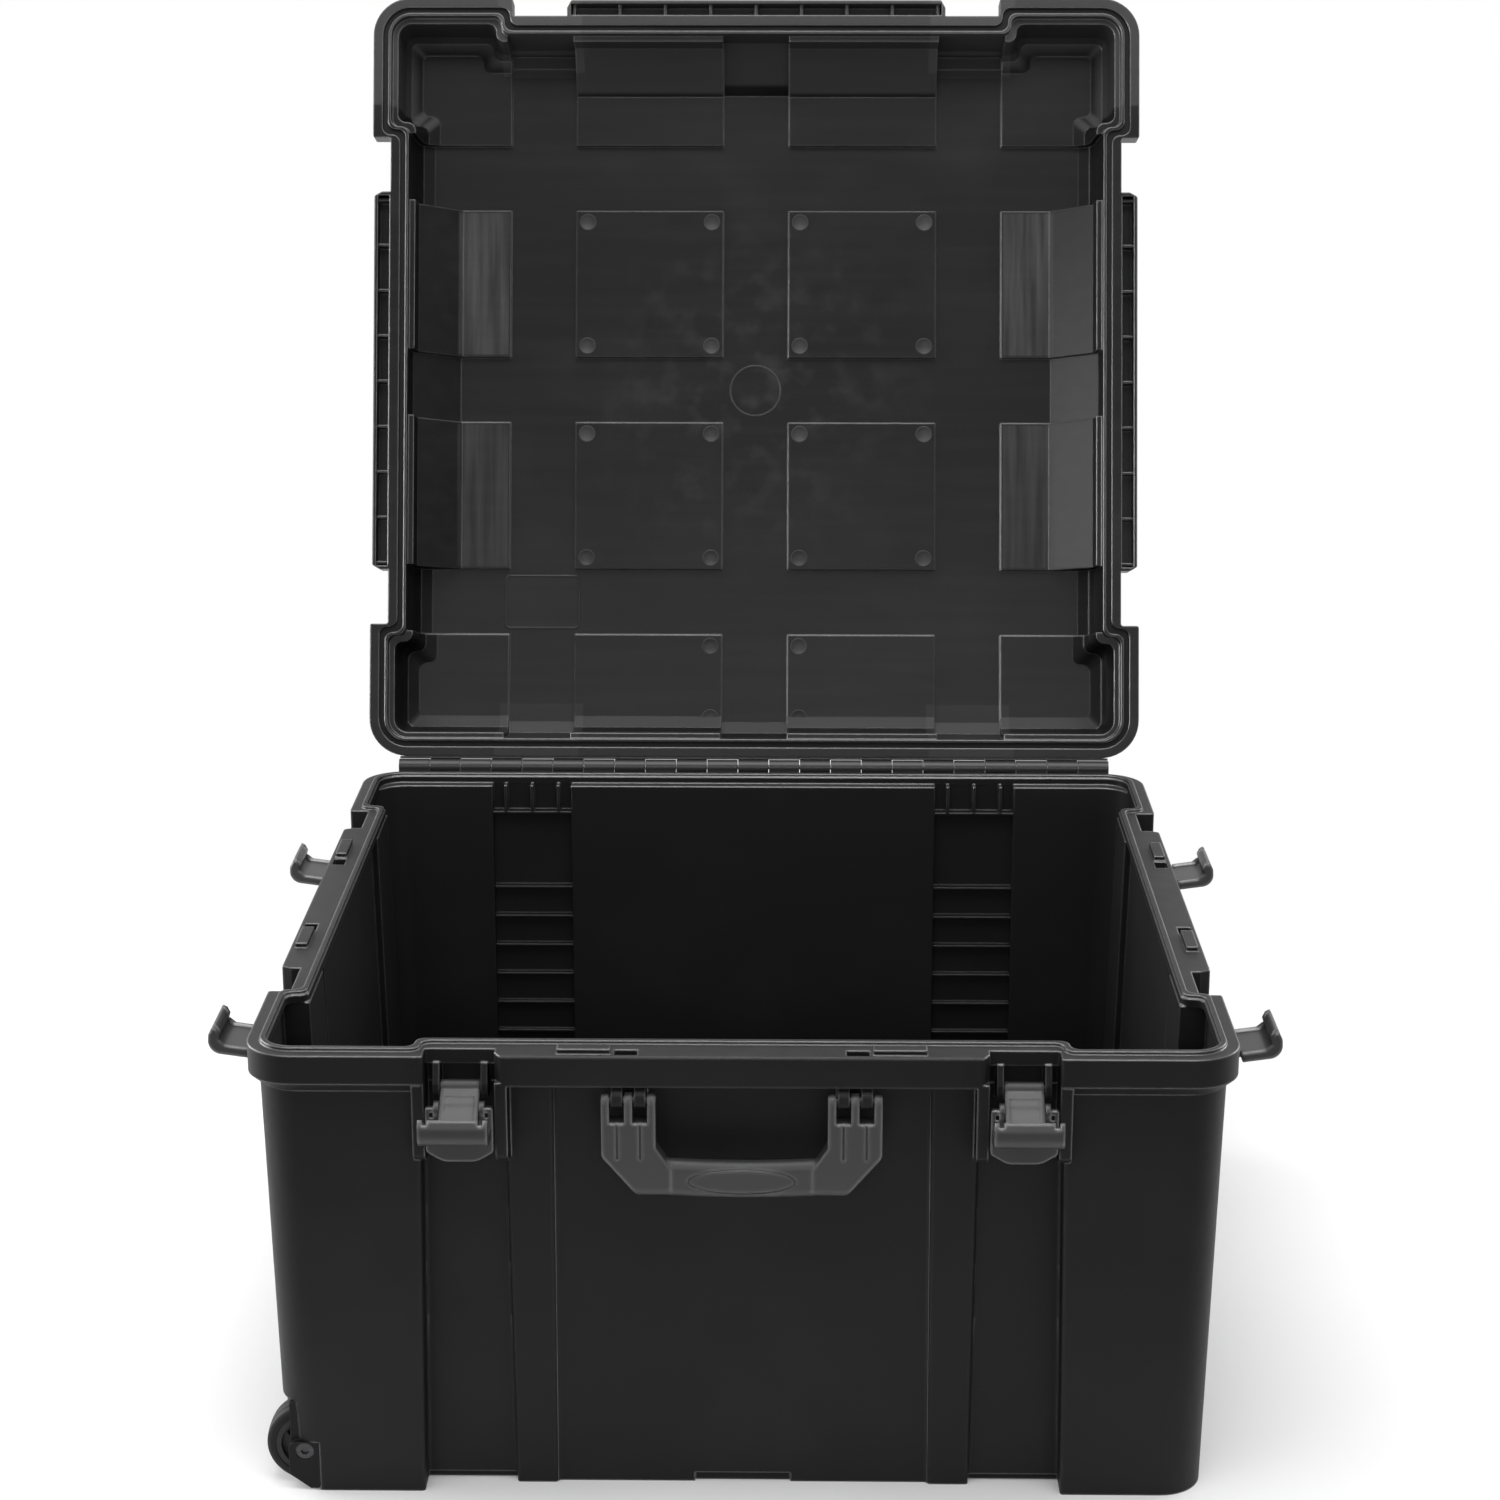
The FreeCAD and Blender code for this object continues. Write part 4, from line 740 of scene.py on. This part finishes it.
@dataclass
class SubAssembly:
    """A group of pieces that are made and finished together.

    Attributes:
        nodes: CAD nodes that belong to it.
    """

    nodes: tuple[str, ...] = ()

    def finish_of(self, node: str) -> bpy.types.Material:
        """Give the material that a CAD node takes."""
        return FINISHES[NODE_SLOTS[node]].material()

    def add(
        self, mesh: bpy.types.Mesh, body: str, slot: Slot, stands_for: Sequence[str] = (),
    ) -> bpy.types.Object:
        """Put a finished mesh into the scene as a piece.

        Args:
            mesh: The mesh, its place in its points.
            body: CAD body that the piece rides on.
            slot: Slot that its finish comes from; not used.
            stands_for: CAD nodes that it replaces.

        Returns:
            The new object.
        """
        mesh.shade_smooth()
        mesh.set_sharp_from_angle(angle=SHARP_ANGLE)
        piece = bpy.data.objects.new(mesh.name, mesh)
        bpy.context.scene.collection.objects.link(piece)
        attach(piece, body)
        if stands_for:
            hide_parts(*stands_for)
        LOG.info("piece %s rides on %s", piece.name, body)
        return piece

    def build(self) -> None:
        """Make the meshes that the CAD nodes don't hold."""

    def dress(self) -> None:
        """Give each CAD node its finish."""
        for node in self.nodes:
            mesh = frame["nodes"][node].data
            mesh.materials.clear()
            mesh.materials.append(self.finish_of(node))
            LOG.info("node %s wears %s", node, mesh.materials[0].name)


@dataclass
class Shell(SubAssembly):
    """A moulded shell, whose finish has marks and painted light of its own."""

    def own_place(self, wire: Wiring, place: Socket) -> Socket:
        """Give a place as the shell's marks read it, which is as it is modelled."""
        return place

    def marks(self) -> bpy.types.NodeTree:
        """Give the node group of the shell's marks and painted light."""
        raise NotImplementedError


@dataclass
class Tub(Shell):
    """The moulded tub with its stepped rim.

    Attributes:
        rim_z: Heights in millimetres between which the rim's painted sheen sets in.
        rim_sheen: Share of pale grey painted on the rim's upper faces as a sheen of light from above.
        back_y: Places along Y between which the back wall's inside sets in and ends.
        shade_z: Heights between which the painted shade on the edges inside ends.
        shaded_edge_share: Share of the edges' pale grey and coat that those shaded edges keep.
    """

    nodes: tuple[str, ...] = ("tub_shell",)
    rim_z: tuple[float, float] = (326.0, 334.0)
    rim_sheen: float = 0.075
    back_y: tuple[float, float, float, float] = (240.0, 260.0, 332.0, 336.0)
    shade_z: tuple[float, float] = (310.0, 326.0)
    shaded_edge_share: float = 0.12

    def marks(self) -> bpy.types.NodeTree:
        """Give the node group of the tub's painted sheen and shade."""
        return tub_sheen_and_shade(self)

    def finish_of(self, node: str) -> bpy.types.Material:
        """Give the shell the textured finish with the tub's painted sheen and shade."""
        return SHELL.material(self)


@dataclass
class Lid(Shell):
    """The lid, its seal, the marks that its mould leaves on the inside and the light painted over them.

    Sizes are in millimetres with the lid shut, where Z is up and the inside faces down. An edge is
    a list of points with their height over the face that they stand on; down is out of the shell.

    Attributes:
        hinge_y, hinge_z: Place of the hinge's axis.
        open_angle: Degrees that the lid stands open.
        middle_y: Place of the lid's middle along Y.
        pitch, pad: Distance from one pad's middle to the next, and the side of a pad.
        pad_z, lane_z: Heights of the pads' face and of the lanes' face between them.
        flat_w: Where a flat's painted reflection ends, from the edge of its side pad.
        flat_gap: How far the flats stay off the pads' edges.
        flat_soft, patch_soft: Half the length over which a flat's or a patch's sides set in.
        flat_rise, slope_rise: Heights over the pads' face between which the flats and the slope end.
        flat_painted_sheen, patch_pale, slope_painted_light, smudge_pale: Shares of pale grey; on the flats
        it is a painted reflection, on the slope painted light.
        glow_y: Distance along Y, both ways from the middle, over which the flats' painted reflection fades.
        glow_end: Share of the flats' painted reflection that is left at the hinge's end.
        patch_w, patch_length: Sides of an insert patch at a lane's end.
        patch_from: Where the patches begin, from the middle along Y.
        slope_y, slope_soft: Where the slope at the front begins, from the middle, and over what length.
        smudge_r: Distances from the middle between which the smudges fade.
        mark_r: Radius of an ejector mark.
        mark_in: Distance of a mark's centre from the pad's edges.
        mark_far: Distance of the far marks from the edge of the pads beside the hinge.
        mark_root, plate_root: How far the marks and the plate reach into the shell.
        mark_edge, plate_edge: Inset and height of each point of a mark's or the plate's edge.
        mark_middle: Height of a mark's middle.
        gate_r: Radius of the gate's ring.
        gate_edge: Distance out from that radius and height of each point of the ring's edge.
        plate: Width, depth and corner radius of the bare plate.
    """

    nodes: tuple[str, ...] = ("lid_shell", "lid_gasket")
    hinge_y: float = 351.0
    hinge_z: float = 344.5
    open_angle: float = 107.5
    middle_y: float = 3.8
    pitch: float = 195.0
    pad: float = 135.0
    pad_z: float = 402.9
    lane_z: float = 407.9
    flat_w: float = 48.0
    flat_gap: float = 2.0
    flat_soft: float = 0.8
    flat_rise: tuple[float, float] = (1.5, 2.5)
    flat_painted_sheen: float = 0.17
    glow_y: float = 170.0
    glow_end: float = 0.55
    patch_w: float = 76.0
    patch_from: float = 288.6
    patch_length: float = 60.0
    patch_soft: float = 0.5
    patch_pale: float = 0.05
    slope_y: float = 250.0
    slope_soft: float = 2.0
    slope_rise: tuple[float, float] = (-4.0, -1.0)
    slope_painted_light: float = 0.10
    smudge_r: tuple[float, float] = (20.0, 190.0)
    smudge_pale: float = 0.075
    mark_r: float = 7.6
    mark_in: float = 10.5
    mark_far: float = 76.0
    mark_root: float = 0.3
    mark_edge: Edge = ((0.0, -0.1), (0.25, -0.25), (0.7, -0.25), (1.0, -0.08))
    mark_middle: float = -0.05
    gate_r: float = 23.0
    gate_edge: Edge = ((-0.9, 0.3), (-0.7, -0.3), (0.0, -0.5), (0.7, -0.3), (0.9, 0.3))
    plate: Triple = (70.0, 50.0, 5.0)
    plate_root: float = 0.4
    plate_edge: Edge = ((0.0, -0.5), (0.3, -0.9), (0.9, -1.1), (1.5, -0.9), (1.9, -0.6), (2.4, -0.6))

    def own_place(self, wire: Wiring, place: Socket) -> Socket:
        """Turn a place on the open lid to where it is with the lid shut.

        Args:
            wire: The material's wiring.
            place: The place as it is modelled, with the lid open.

        Returns:
            The place with the lid shut.
        """
        turn = math.radians(self.open_angle)
        hinge = Vector((0.0, self.hinge_y, self.hinge_z)) * MM
        shift = hinge - Matrix.Rotation(turn, 3, "X") @ hinge
        inputs = {"Vector": place, "Rotation": (turn, 0.0, 0.0), "Location": shift}
        return wire.add("ShaderNodeMapping", inputs).outputs["Vector"]

    def marks(self) -> bpy.types.NodeTree:
        """Give the node group of the lid's marks and painted light."""
        return lid_marks_and_light(self)

    def opened(self, points: np.ndarray) -> np.ndarray:
        """Turn points of the shut lid about the hinge to where they are on the open lid.

        Args:
            points: Points in millimetres, any array with X, Y and Z last.

        Returns:
            The turned points in metres.
        """
        turn = -math.radians(self.open_angle)
        y, z = points[..., 1] - self.hinge_y, points[..., 2] - self.hinge_z
        moved_y = y * math.cos(turn) - z * math.sin(turn) + self.hinge_y
        moved_z = y * math.sin(turn) + z * math.cos(turn) + self.hinge_z
        return np.stack((points[..., 0], moved_y, moved_z), axis=-1) * MM

    def finish_of(self, node: str) -> bpy.types.Material:
        """Give the seal its rubber and the shell the smooth finish with the mould's marks and painted
        light.
        """
        return LID.material(self) if node == "lid_shell" else super().finish_of(node)

    def mark_centres(self) -> np.ndarray:
        """Place the round ejector marks: four to an inner pad, two to each pad beside the hinge.

        Returns:
            Centres in millimetres.
        """
        reach = self.pad / 2 - self.mark_in
        side = np.array([-1.0, 1.0])
        corner = (side[:, None] * self.pitch / 2 + side[None, :] * reach).ravel()
        x, y = (grid.ravel() for grid in np.meshgrid(corner, corner + self.middle_y))
        near = self.pitch / 2 - reach
        row = self.middle_y + self.pitch * 1.5 - self.pad / 2
        rows = np.array([row + self.mark_in, row + self.mark_far])
        low_x, low_y = (grid.ravel() for grid in np.meshgrid(side * near, rows))
        flat = np.concatenate((np.stack((x, y), -1), np.stack((low_x, low_y), -1)))
        return np.column_stack((flat, np.full(len(flat), self.pad_z)))

    def ejector_marks(self) -> bpy.types.Mesh:
        """Turn low round marks: a thin raised ring with a slightly sunk middle.

        Returns:
            One mesh of all the marks.
        """
        inset, height = np.array(self.mark_edge).T
        edge = np.column_stack((self.mark_r - inset, height))
        root = [(0.0, self.mark_root), (self.mark_r, self.mark_root)]
        profile = np.concatenate((root, edge, [(0.0, self.mark_middle)]))
        points = turned(profile, self.mark_centres(), Axis.Z, steps=40)
        return grid_mesh("lid_ejector_marks", self.opened(points), loop=False)

    def gate_ring(self) -> bpy.types.Mesh:
        """Turn the ring that the injection gate leaves in the middle of the lid.

        Returns:
            The ring's mesh.
        """
        profile = np.array(self.gate_edge) + (self.gate_r, 0.0)
        centre = np.array([[0.0, self.middle_y, self.lane_z]])
        points = turned(profile, centre, Axis.Z, steps=96)
        return grid_mesh("lid_gate_ring", self.opened(points), loop=True)

    def bare_plate(self) -> bpy.types.Mesh:
        """Carry the raised plate's edge round its outline and close it over the middle.

        Returns:
            The plate's mesh.
        """
        width, depth, radius = self.plate
        root = [(depth / 2, self.plate_root), (0.0, self.plate_root)]
        face = [(depth / 2, self.plate_edge[-1][1])]
        points = rounded_plate(np.concatenate((root, self.plate_edge, face)), width, depth, radius, steps=8)
        place = np.array([-self.pitch, self.middle_y + self.pitch, self.lane_z])
        return grid_mesh("lid_bare_plate", self.opened(points + place), loop=True)

    def build(self) -> None:
        """Make the marks on the lid's inside."""
        marks = ((self.ejector_marks(), MARKS), (self.gate_ring(), MARKS), (self.bare_plate(), PLATE))
        for mesh, finish in marks:
            mesh.materials.append(finish.material())
            self.add(mesh, "lid", Slot.CASE)


@dataclass
class Hinge(SubAssembly):
    """The full-length hinge: two leaves, the rod and the screws."""

    nodes: tuple[str, ...] = (
        "hinge_leaf_tub", "hinge_leaf_lid", "hinge_rod", "hinge_screws_tub", "hinge_screws_lid",
    )


@dataclass
class Latch(SubAssembly):
    """One draw latch: the claw, its pull lever and the pin between them.

    Attributes:
        station: Side and end of the case that the latch is on.
    """

    station: str = "front_left"

    def __post_init__(self) -> None:
        """Name the three nodes of this latch."""
        self.nodes = tuple(piece + self.station for piece in ("jaw_", "lever_", "lever_pin_"))

    def finish_of(self, node: str) -> bpy.types.Material:
        """Give the claw its own finish, with rounder edges than the lever's."""
        return CLAW.material() if node.startswith("jaw_") else super().finish_of(node)


@dataclass
class CarryHandle(SubAssembly):
    """The carry handle on the front, its pins and the pins of the latches."""

    nodes: tuple[str, ...] = ("carry_handle", "handle_pins", "latch_hinge_pins")


@dataclass
class Wheel(SubAssembly):
    """One wheel: a grooved rubber tyre on its hub, with the bracket and the axle.

    Attributes:
        end: Which end of the left edge the wheel is on.
        band: Depth of the rubber in millimetres.
        crown: Rise of the tread over the tyre's width.
        groove: Depth and half width of each groove.
        shoulder: Fall of the shoulders at the tyre's sides.
        shoulder_from: Share of the half width where a shoulder begins.
        tread_points: Points across the tread.
        steps: Points round the tyre.
    """

    end: str = "front"
    band: float = 7.0
    crown: float = 0.8
    groove: tuple[float, float] = (0.7, 0.9)
    shoulder: float = 3.0
    shoulder_from: float = 0.75
    tread_points: int = 65
    steps: int = 96

    def __post_init__(self) -> None:
        """Name the nodes of this wheel that keep their own mesh."""
        self.nodes = tuple(piece + self.end for piece in ("wheel_hub_", "wheel_bracket_", "wheel_axle_"))

    def tyre(self) -> bpy.types.Mesh:
        """Turn the tyre about its axle.

        The tread's radius falls with the square of the distance from the middle. A groove, a third of
        the half width out on each side, is its depth times e to minus the fourth power of the distance
        from it in half widths. A shoulder falls with the square of the distance past where it begins.

        Returns:
            The tyre's mesh.
        """
        low, high = (np.array(corner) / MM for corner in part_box("wheel_tyre_" + self.end))
        middle, size = (low + high) / 2, high - low
        outer, half = size[0] / 2, size[1] / 2
        across = np.linspace(-1.0, 1.0, self.tread_points)
        depth, width = self.groove
        centre = half / 3
        gap = np.minimum(np.abs(across * half - centre), np.abs(across * half + centre)) / width
        tread = outer - self.crown * across ** 2 - depth * np.exp(-gap ** 4)
        past = np.clip((np.abs(across) - self.shoulder_from) / (1.0 - self.shoulder_from), 0.0, 1.0)
        skin = np.column_stack((tread - self.shoulder * past ** 2, across * half))
        bore = np.array([(outer - self.band, half), (outer - self.band, -half)])
        profile = np.concatenate((skin, bore))
        points = turned(profile, middle[None], Axis.Y, self.steps)
        return grid_mesh("tyre_" + self.end, points * MM, loop=True)

    def build(self) -> None:
        """Make the tyre in place of its plain solid."""
        mesh = self.tyre()
        mesh.materials.append(TYRE.material())
        self.add(mesh, "wheel_" + self.end, Slot.TYRE, ["wheel_tyre_" + self.end])


@dataclass
class PullHandle(SubAssembly):
    """The telescopic handle under the base with its grip, release button and return spring.

    Attributes:
        coil_wire: Radius of the spring's wire in millimetres.
        coil_turns: Turns of the spring.
        coil_even: Share of the coil's rise that is even.
        coil_points: Points along the coil.
        wire_points: Points round the wire.
        travel: How far the button goes in; not used.
    """

    nodes: tuple[str, ...] = (
        "trolley_outer_tube_front", "trolley_outer_tube_back", "trolley_inner_tube_front",
        "trolley_inner_tube_back", "tube_clamps", "clamp_screws", "trolley_grip", "grip_cover",
        "release_button",
    )
    coil_wire: float = 0.5
    coil_turns: float = 5.0
    coil_even: float = 0.4
    coil_points: int = 201
    wire_points: int = 10
    travel: float = 4.0

    def coil(self) -> bpy.types.Mesh:
        """Carry the round wire along the spring's coil.

        The coil turns evenly while its height rises partly evenly and partly by a smooth step, three
        squares less two cubes of the way along, so that the end turns lie closer. A point of the wire
        is the wire's radius away, by the cosine out along the coil's radius and by the sine up. The
        wire shrinks to nothing at both ends, which closes it.

        Returns:
            The spring's mesh.
        """
        low, high = (np.array(corner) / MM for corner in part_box("button_spring"))
        middle = (low + high) / 2
        radius = (high[0] - low[0]) / 2 - self.coil_wire
        share = np.concatenate(([0.0], np.linspace(0.0, 1.0, self.coil_points), [1.0]))[:, None]
        wire = np.full_like(share, self.coil_wire)
        wire[[0, -1]] = 0.0
        turn = 2.0 * math.pi * self.coil_turns * share
        step = share ** 2 * (3.0 - 2.0 * share)
        rise = self.coil_even * share + (1.0 - self.coil_even) * step
        round_wire = np.linspace(0.0, 2.0 * math.pi, self.wire_points, endpoint=False)[None, :]
        out = radius + wire * np.cos(round_wire)
        height = low[2] + self.coil_wire + (high[2] - low[2] - 2.0 * self.coil_wire) * rise
        points = np.stack((
            middle[0] + out * np.cos(turn),
            middle[1] + out * np.sin(turn),
            height + wire * np.sin(round_wire),
        ), axis=-1)
        return grid_mesh("button_coil", points[None] * MM, loop=False)

    def build(self) -> None:
        """Make the spring in place of its plain solid; on the real handle it shortens towards the cover as
        the button goes in.
        """
        mesh = self.coil()
        mesh.materials.append(STEEL.material())
        coil = self.add(mesh, "trolley", Slot.STEEL, ["button_spring"])
        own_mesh(coil)


@dataclass(frozen=True)
class Lamp:
    """One soft box: where it hangs, what it faces, its sides in metres and its power."""

    name: str
    place: Triple
    aim: Triple
    sides: tuple[float, float]
    watts: float

    def hang(self) -> None:
        """Hang the lamp."""
        data = bpy.data.lights.new(self.name, "AREA")
        data.shape = "RECTANGLE"
        data.size, data.size_y = self.sides
        data.energy = self.watts
        lamp = bpy.data.objects.new(self.name, data)
        lamp.location = self.place
        ahead = Vector(self.aim) - Vector(self.place)
        lamp.rotation_euler = ahead.to_track_quat("-Z", "Y").to_euler()
        bpy.context.scene.collection.objects.link(lamp)


@dataclass
class Studio:
    """Camera, pale floor, white surround and soft lamps.

    Attributes:
        eye: Place of the camera in millimetres.
        pitch: How far it looks down, in radians.
        yaw: How far it looks to the right.
        focal_px: Focal length in pixels of the picture.
        image_px: Side of the picture in pixels.
        sensor: Width of the sensor in millimetres.
        far: How far the camera sees, in metres.
        floor_side: Half the side of the floor in metres.
        floor_tone: Lightness of the floor.
        floor_roughness: Roughness of the floor.
        floor_fade: Distances from the middle between which the floor gives way to the surround.
        ambient: Strength of the surround's light on the pieces.
        room: Strength of the dim room in front of the case, as its reflections show it.
        room_fade: Shares of Y in the direction between which the room gives way to the backdrop.
        lamps: The soft boxes.
    """

    eye: Triple = (30.92, -2346.15, 1144.66)
    pitch: float = 0.28293
    yaw: float = -0.012569
    focal_px: float = 3136.7
    image_px: float = 1500.0
    sensor: float = 36.0
    far: float = 100.0
    floor_side: float = 20.0
    floor_tone: float = 0.90
    floor_roughness: float = 0.9
    floor_fade: tuple[float, float] = (0.45, 1.15)
    ambient: float = 0.48
    room: float = 0.18
    room_fade: tuple[float, float] = (-0.75, 0.25)
    lamps: tuple[Lamp, ...] = (
        Lamp("top_box", (0.0, -0.45, 2.7), (0.0, 0.0, 0.3), (2.2, 2.2), 55.0),
        Lamp("left_box", (-2.3, 0.5, 0.7), (0.0, 0.0, 0.3), (1.8, 1.3), 62.0),
        Lamp("right_box", (2.3, 1.0, 0.7), (0.0, 0.0, 0.3), (1.2, 1.2), 30.0),
        Lamp("front_low", (0.0, -4.2, 1.8), (0.0, 0.4, 0.6), (3.2, 0.5), 34.0),
    )

    def camera(self) -> None:
        """Place the camera at the photograph's viewing angle."""
        data = bpy.data.cameras.new("camera")
        data.sensor_width = self.sensor
        data.lens = self.focal_px * self.sensor / self.image_px
        data.clip_end = self.far
        camera = bpy.data.objects.new("camera", data)
        ahead = Vector((
            math.sin(self.yaw) * math.cos(self.pitch),
            math.cos(self.yaw) * math.cos(self.pitch),
            -math.sin(self.pitch),
        ))
        right = Vector((math.cos(self.yaw), -math.sin(self.yaw), 0.0))
        turn = Matrix((right, right.cross(ahead), -ahead)).transposed().to_4x4()
        camera.matrix_world = Matrix.Translation(Vector(self.eye) * MM) @ turn
        bpy.context.scene.collection.objects.link(camera)
        bpy.context.scene.camera = camera

    def floor(self) -> None:
        """Lay the pale floor, which takes the case's shadow and gives way to the surround further out."""
        mesh = bpy.data.meshes.new("floor")
        side = self.floor_side
        corners = [(-side, -side, 0.0), (side, -side, 0.0), (side, side, 0.0), (-side, side, 0.0)]
        mesh.from_pydata(corners, [], [(0, 1, 2, 3)])
        floor = bpy.data.objects.new("floor", mesh)
        bpy.context.scene.collection.objects.link(floor)
        paint = bpy.data.materials.new("pale_floor")
        paint.use_nodes = True
        shader = paint.node_tree.nodes["Principled BSDF"]
        shader.inputs["Base Color"].default_value = (self.floor_tone, self.floor_tone, self.floor_tone, 1.0)
        shader.inputs["Roughness"].default_value = self.floor_roughness
        wire = Wiring(paint.node_tree)
        place = wire.add("ShaderNodeTexCoord", {}).outputs["Object"]
        reach = wire.add("ShaderNodeVectorMath", {0: place}, operation="LENGTH").outputs["Value"]
        near, far = self.floor_fade
        inputs = {"Value": reach, "From Min": near, "From Max": far}
        fade = wire.add("ShaderNodeMapRange", inputs, interpolation_type="SMOOTHSTEP").outputs["Result"]
        clear = wire.add("ShaderNodeBsdfTransparent", {}).outputs["BSDF"]
        both = wire.add("ShaderNodeMixShader", {0: fade, 1: shader.outputs["BSDF"], 2: clear})
        wire.feed(paint.node_tree.nodes["Material Output"].inputs["Surface"], both.outputs["Shader"])
        mesh.materials.append(paint)

    def surround(self) -> None:
        """White backdrop for the camera and for reflections, softer for the light that it gives.

        Reflections see the backdrop behind the case as white, and fade to a dim room in front of it.
        """
        world = bpy.data.worlds.new("surround")
        world.use_nodes = True
        bpy.context.scene.world = world
        wire = Wiring(world.node_tree)
        path = wire.add("ShaderNodeLightPath", {}).outputs
        way = wire.add("ShaderNodeTexCoord", {}).outputs["Generated"]
        ahead = wire.add("ShaderNodeSeparateXYZ", {0: way}).outputs["Y"]
        backdrop = wire.ramp(ahead, *self.room_fade, self.room, 1.0)
        shine = wire.between(path["Is Glossy Ray"], self.ambient, backdrop)
        seen = wire.maths("MAXIMUM", path["Is Camera Ray"], path["Is Transmission Ray"])
        level = wire.between(seen, shine, 1.0)
        back = world.node_tree.nodes["Background"]
        back.inputs["Color"].default_value = (1.0, 1.0, 1.0, 1.0)
        wire.feed(back.inputs["Strength"], level)

    def build(self) -> None:
        """Set up the whole studio."""
        self.camera()
        self.floor()
        self.surround()
        for lamp in self.lamps:
            lamp.hang()
        bpy.context.scene.view_settings.view_transform = "Standard"


STATIONS = ("front_left", "front_right", "right_front", "right_back", "left_back", "left_front")


def main() -> None:
    """Build and dress every sub-assembly, then set up the studio."""
    logging.basicConfig(level=logging.INFO, format="%(message)s")
    case: list[SubAssembly] = [Tub(), Lid(), Hinge()]
    case += [Latch(station=station) for station in STATIONS]
    case += [CarryHandle(), Wheel(end="front"), Wheel(end="back"), PullHandle()]
    for part in case:
        part.build()
        part.dress()
    Studio().build()


if __name__ == "__main__":
    main()
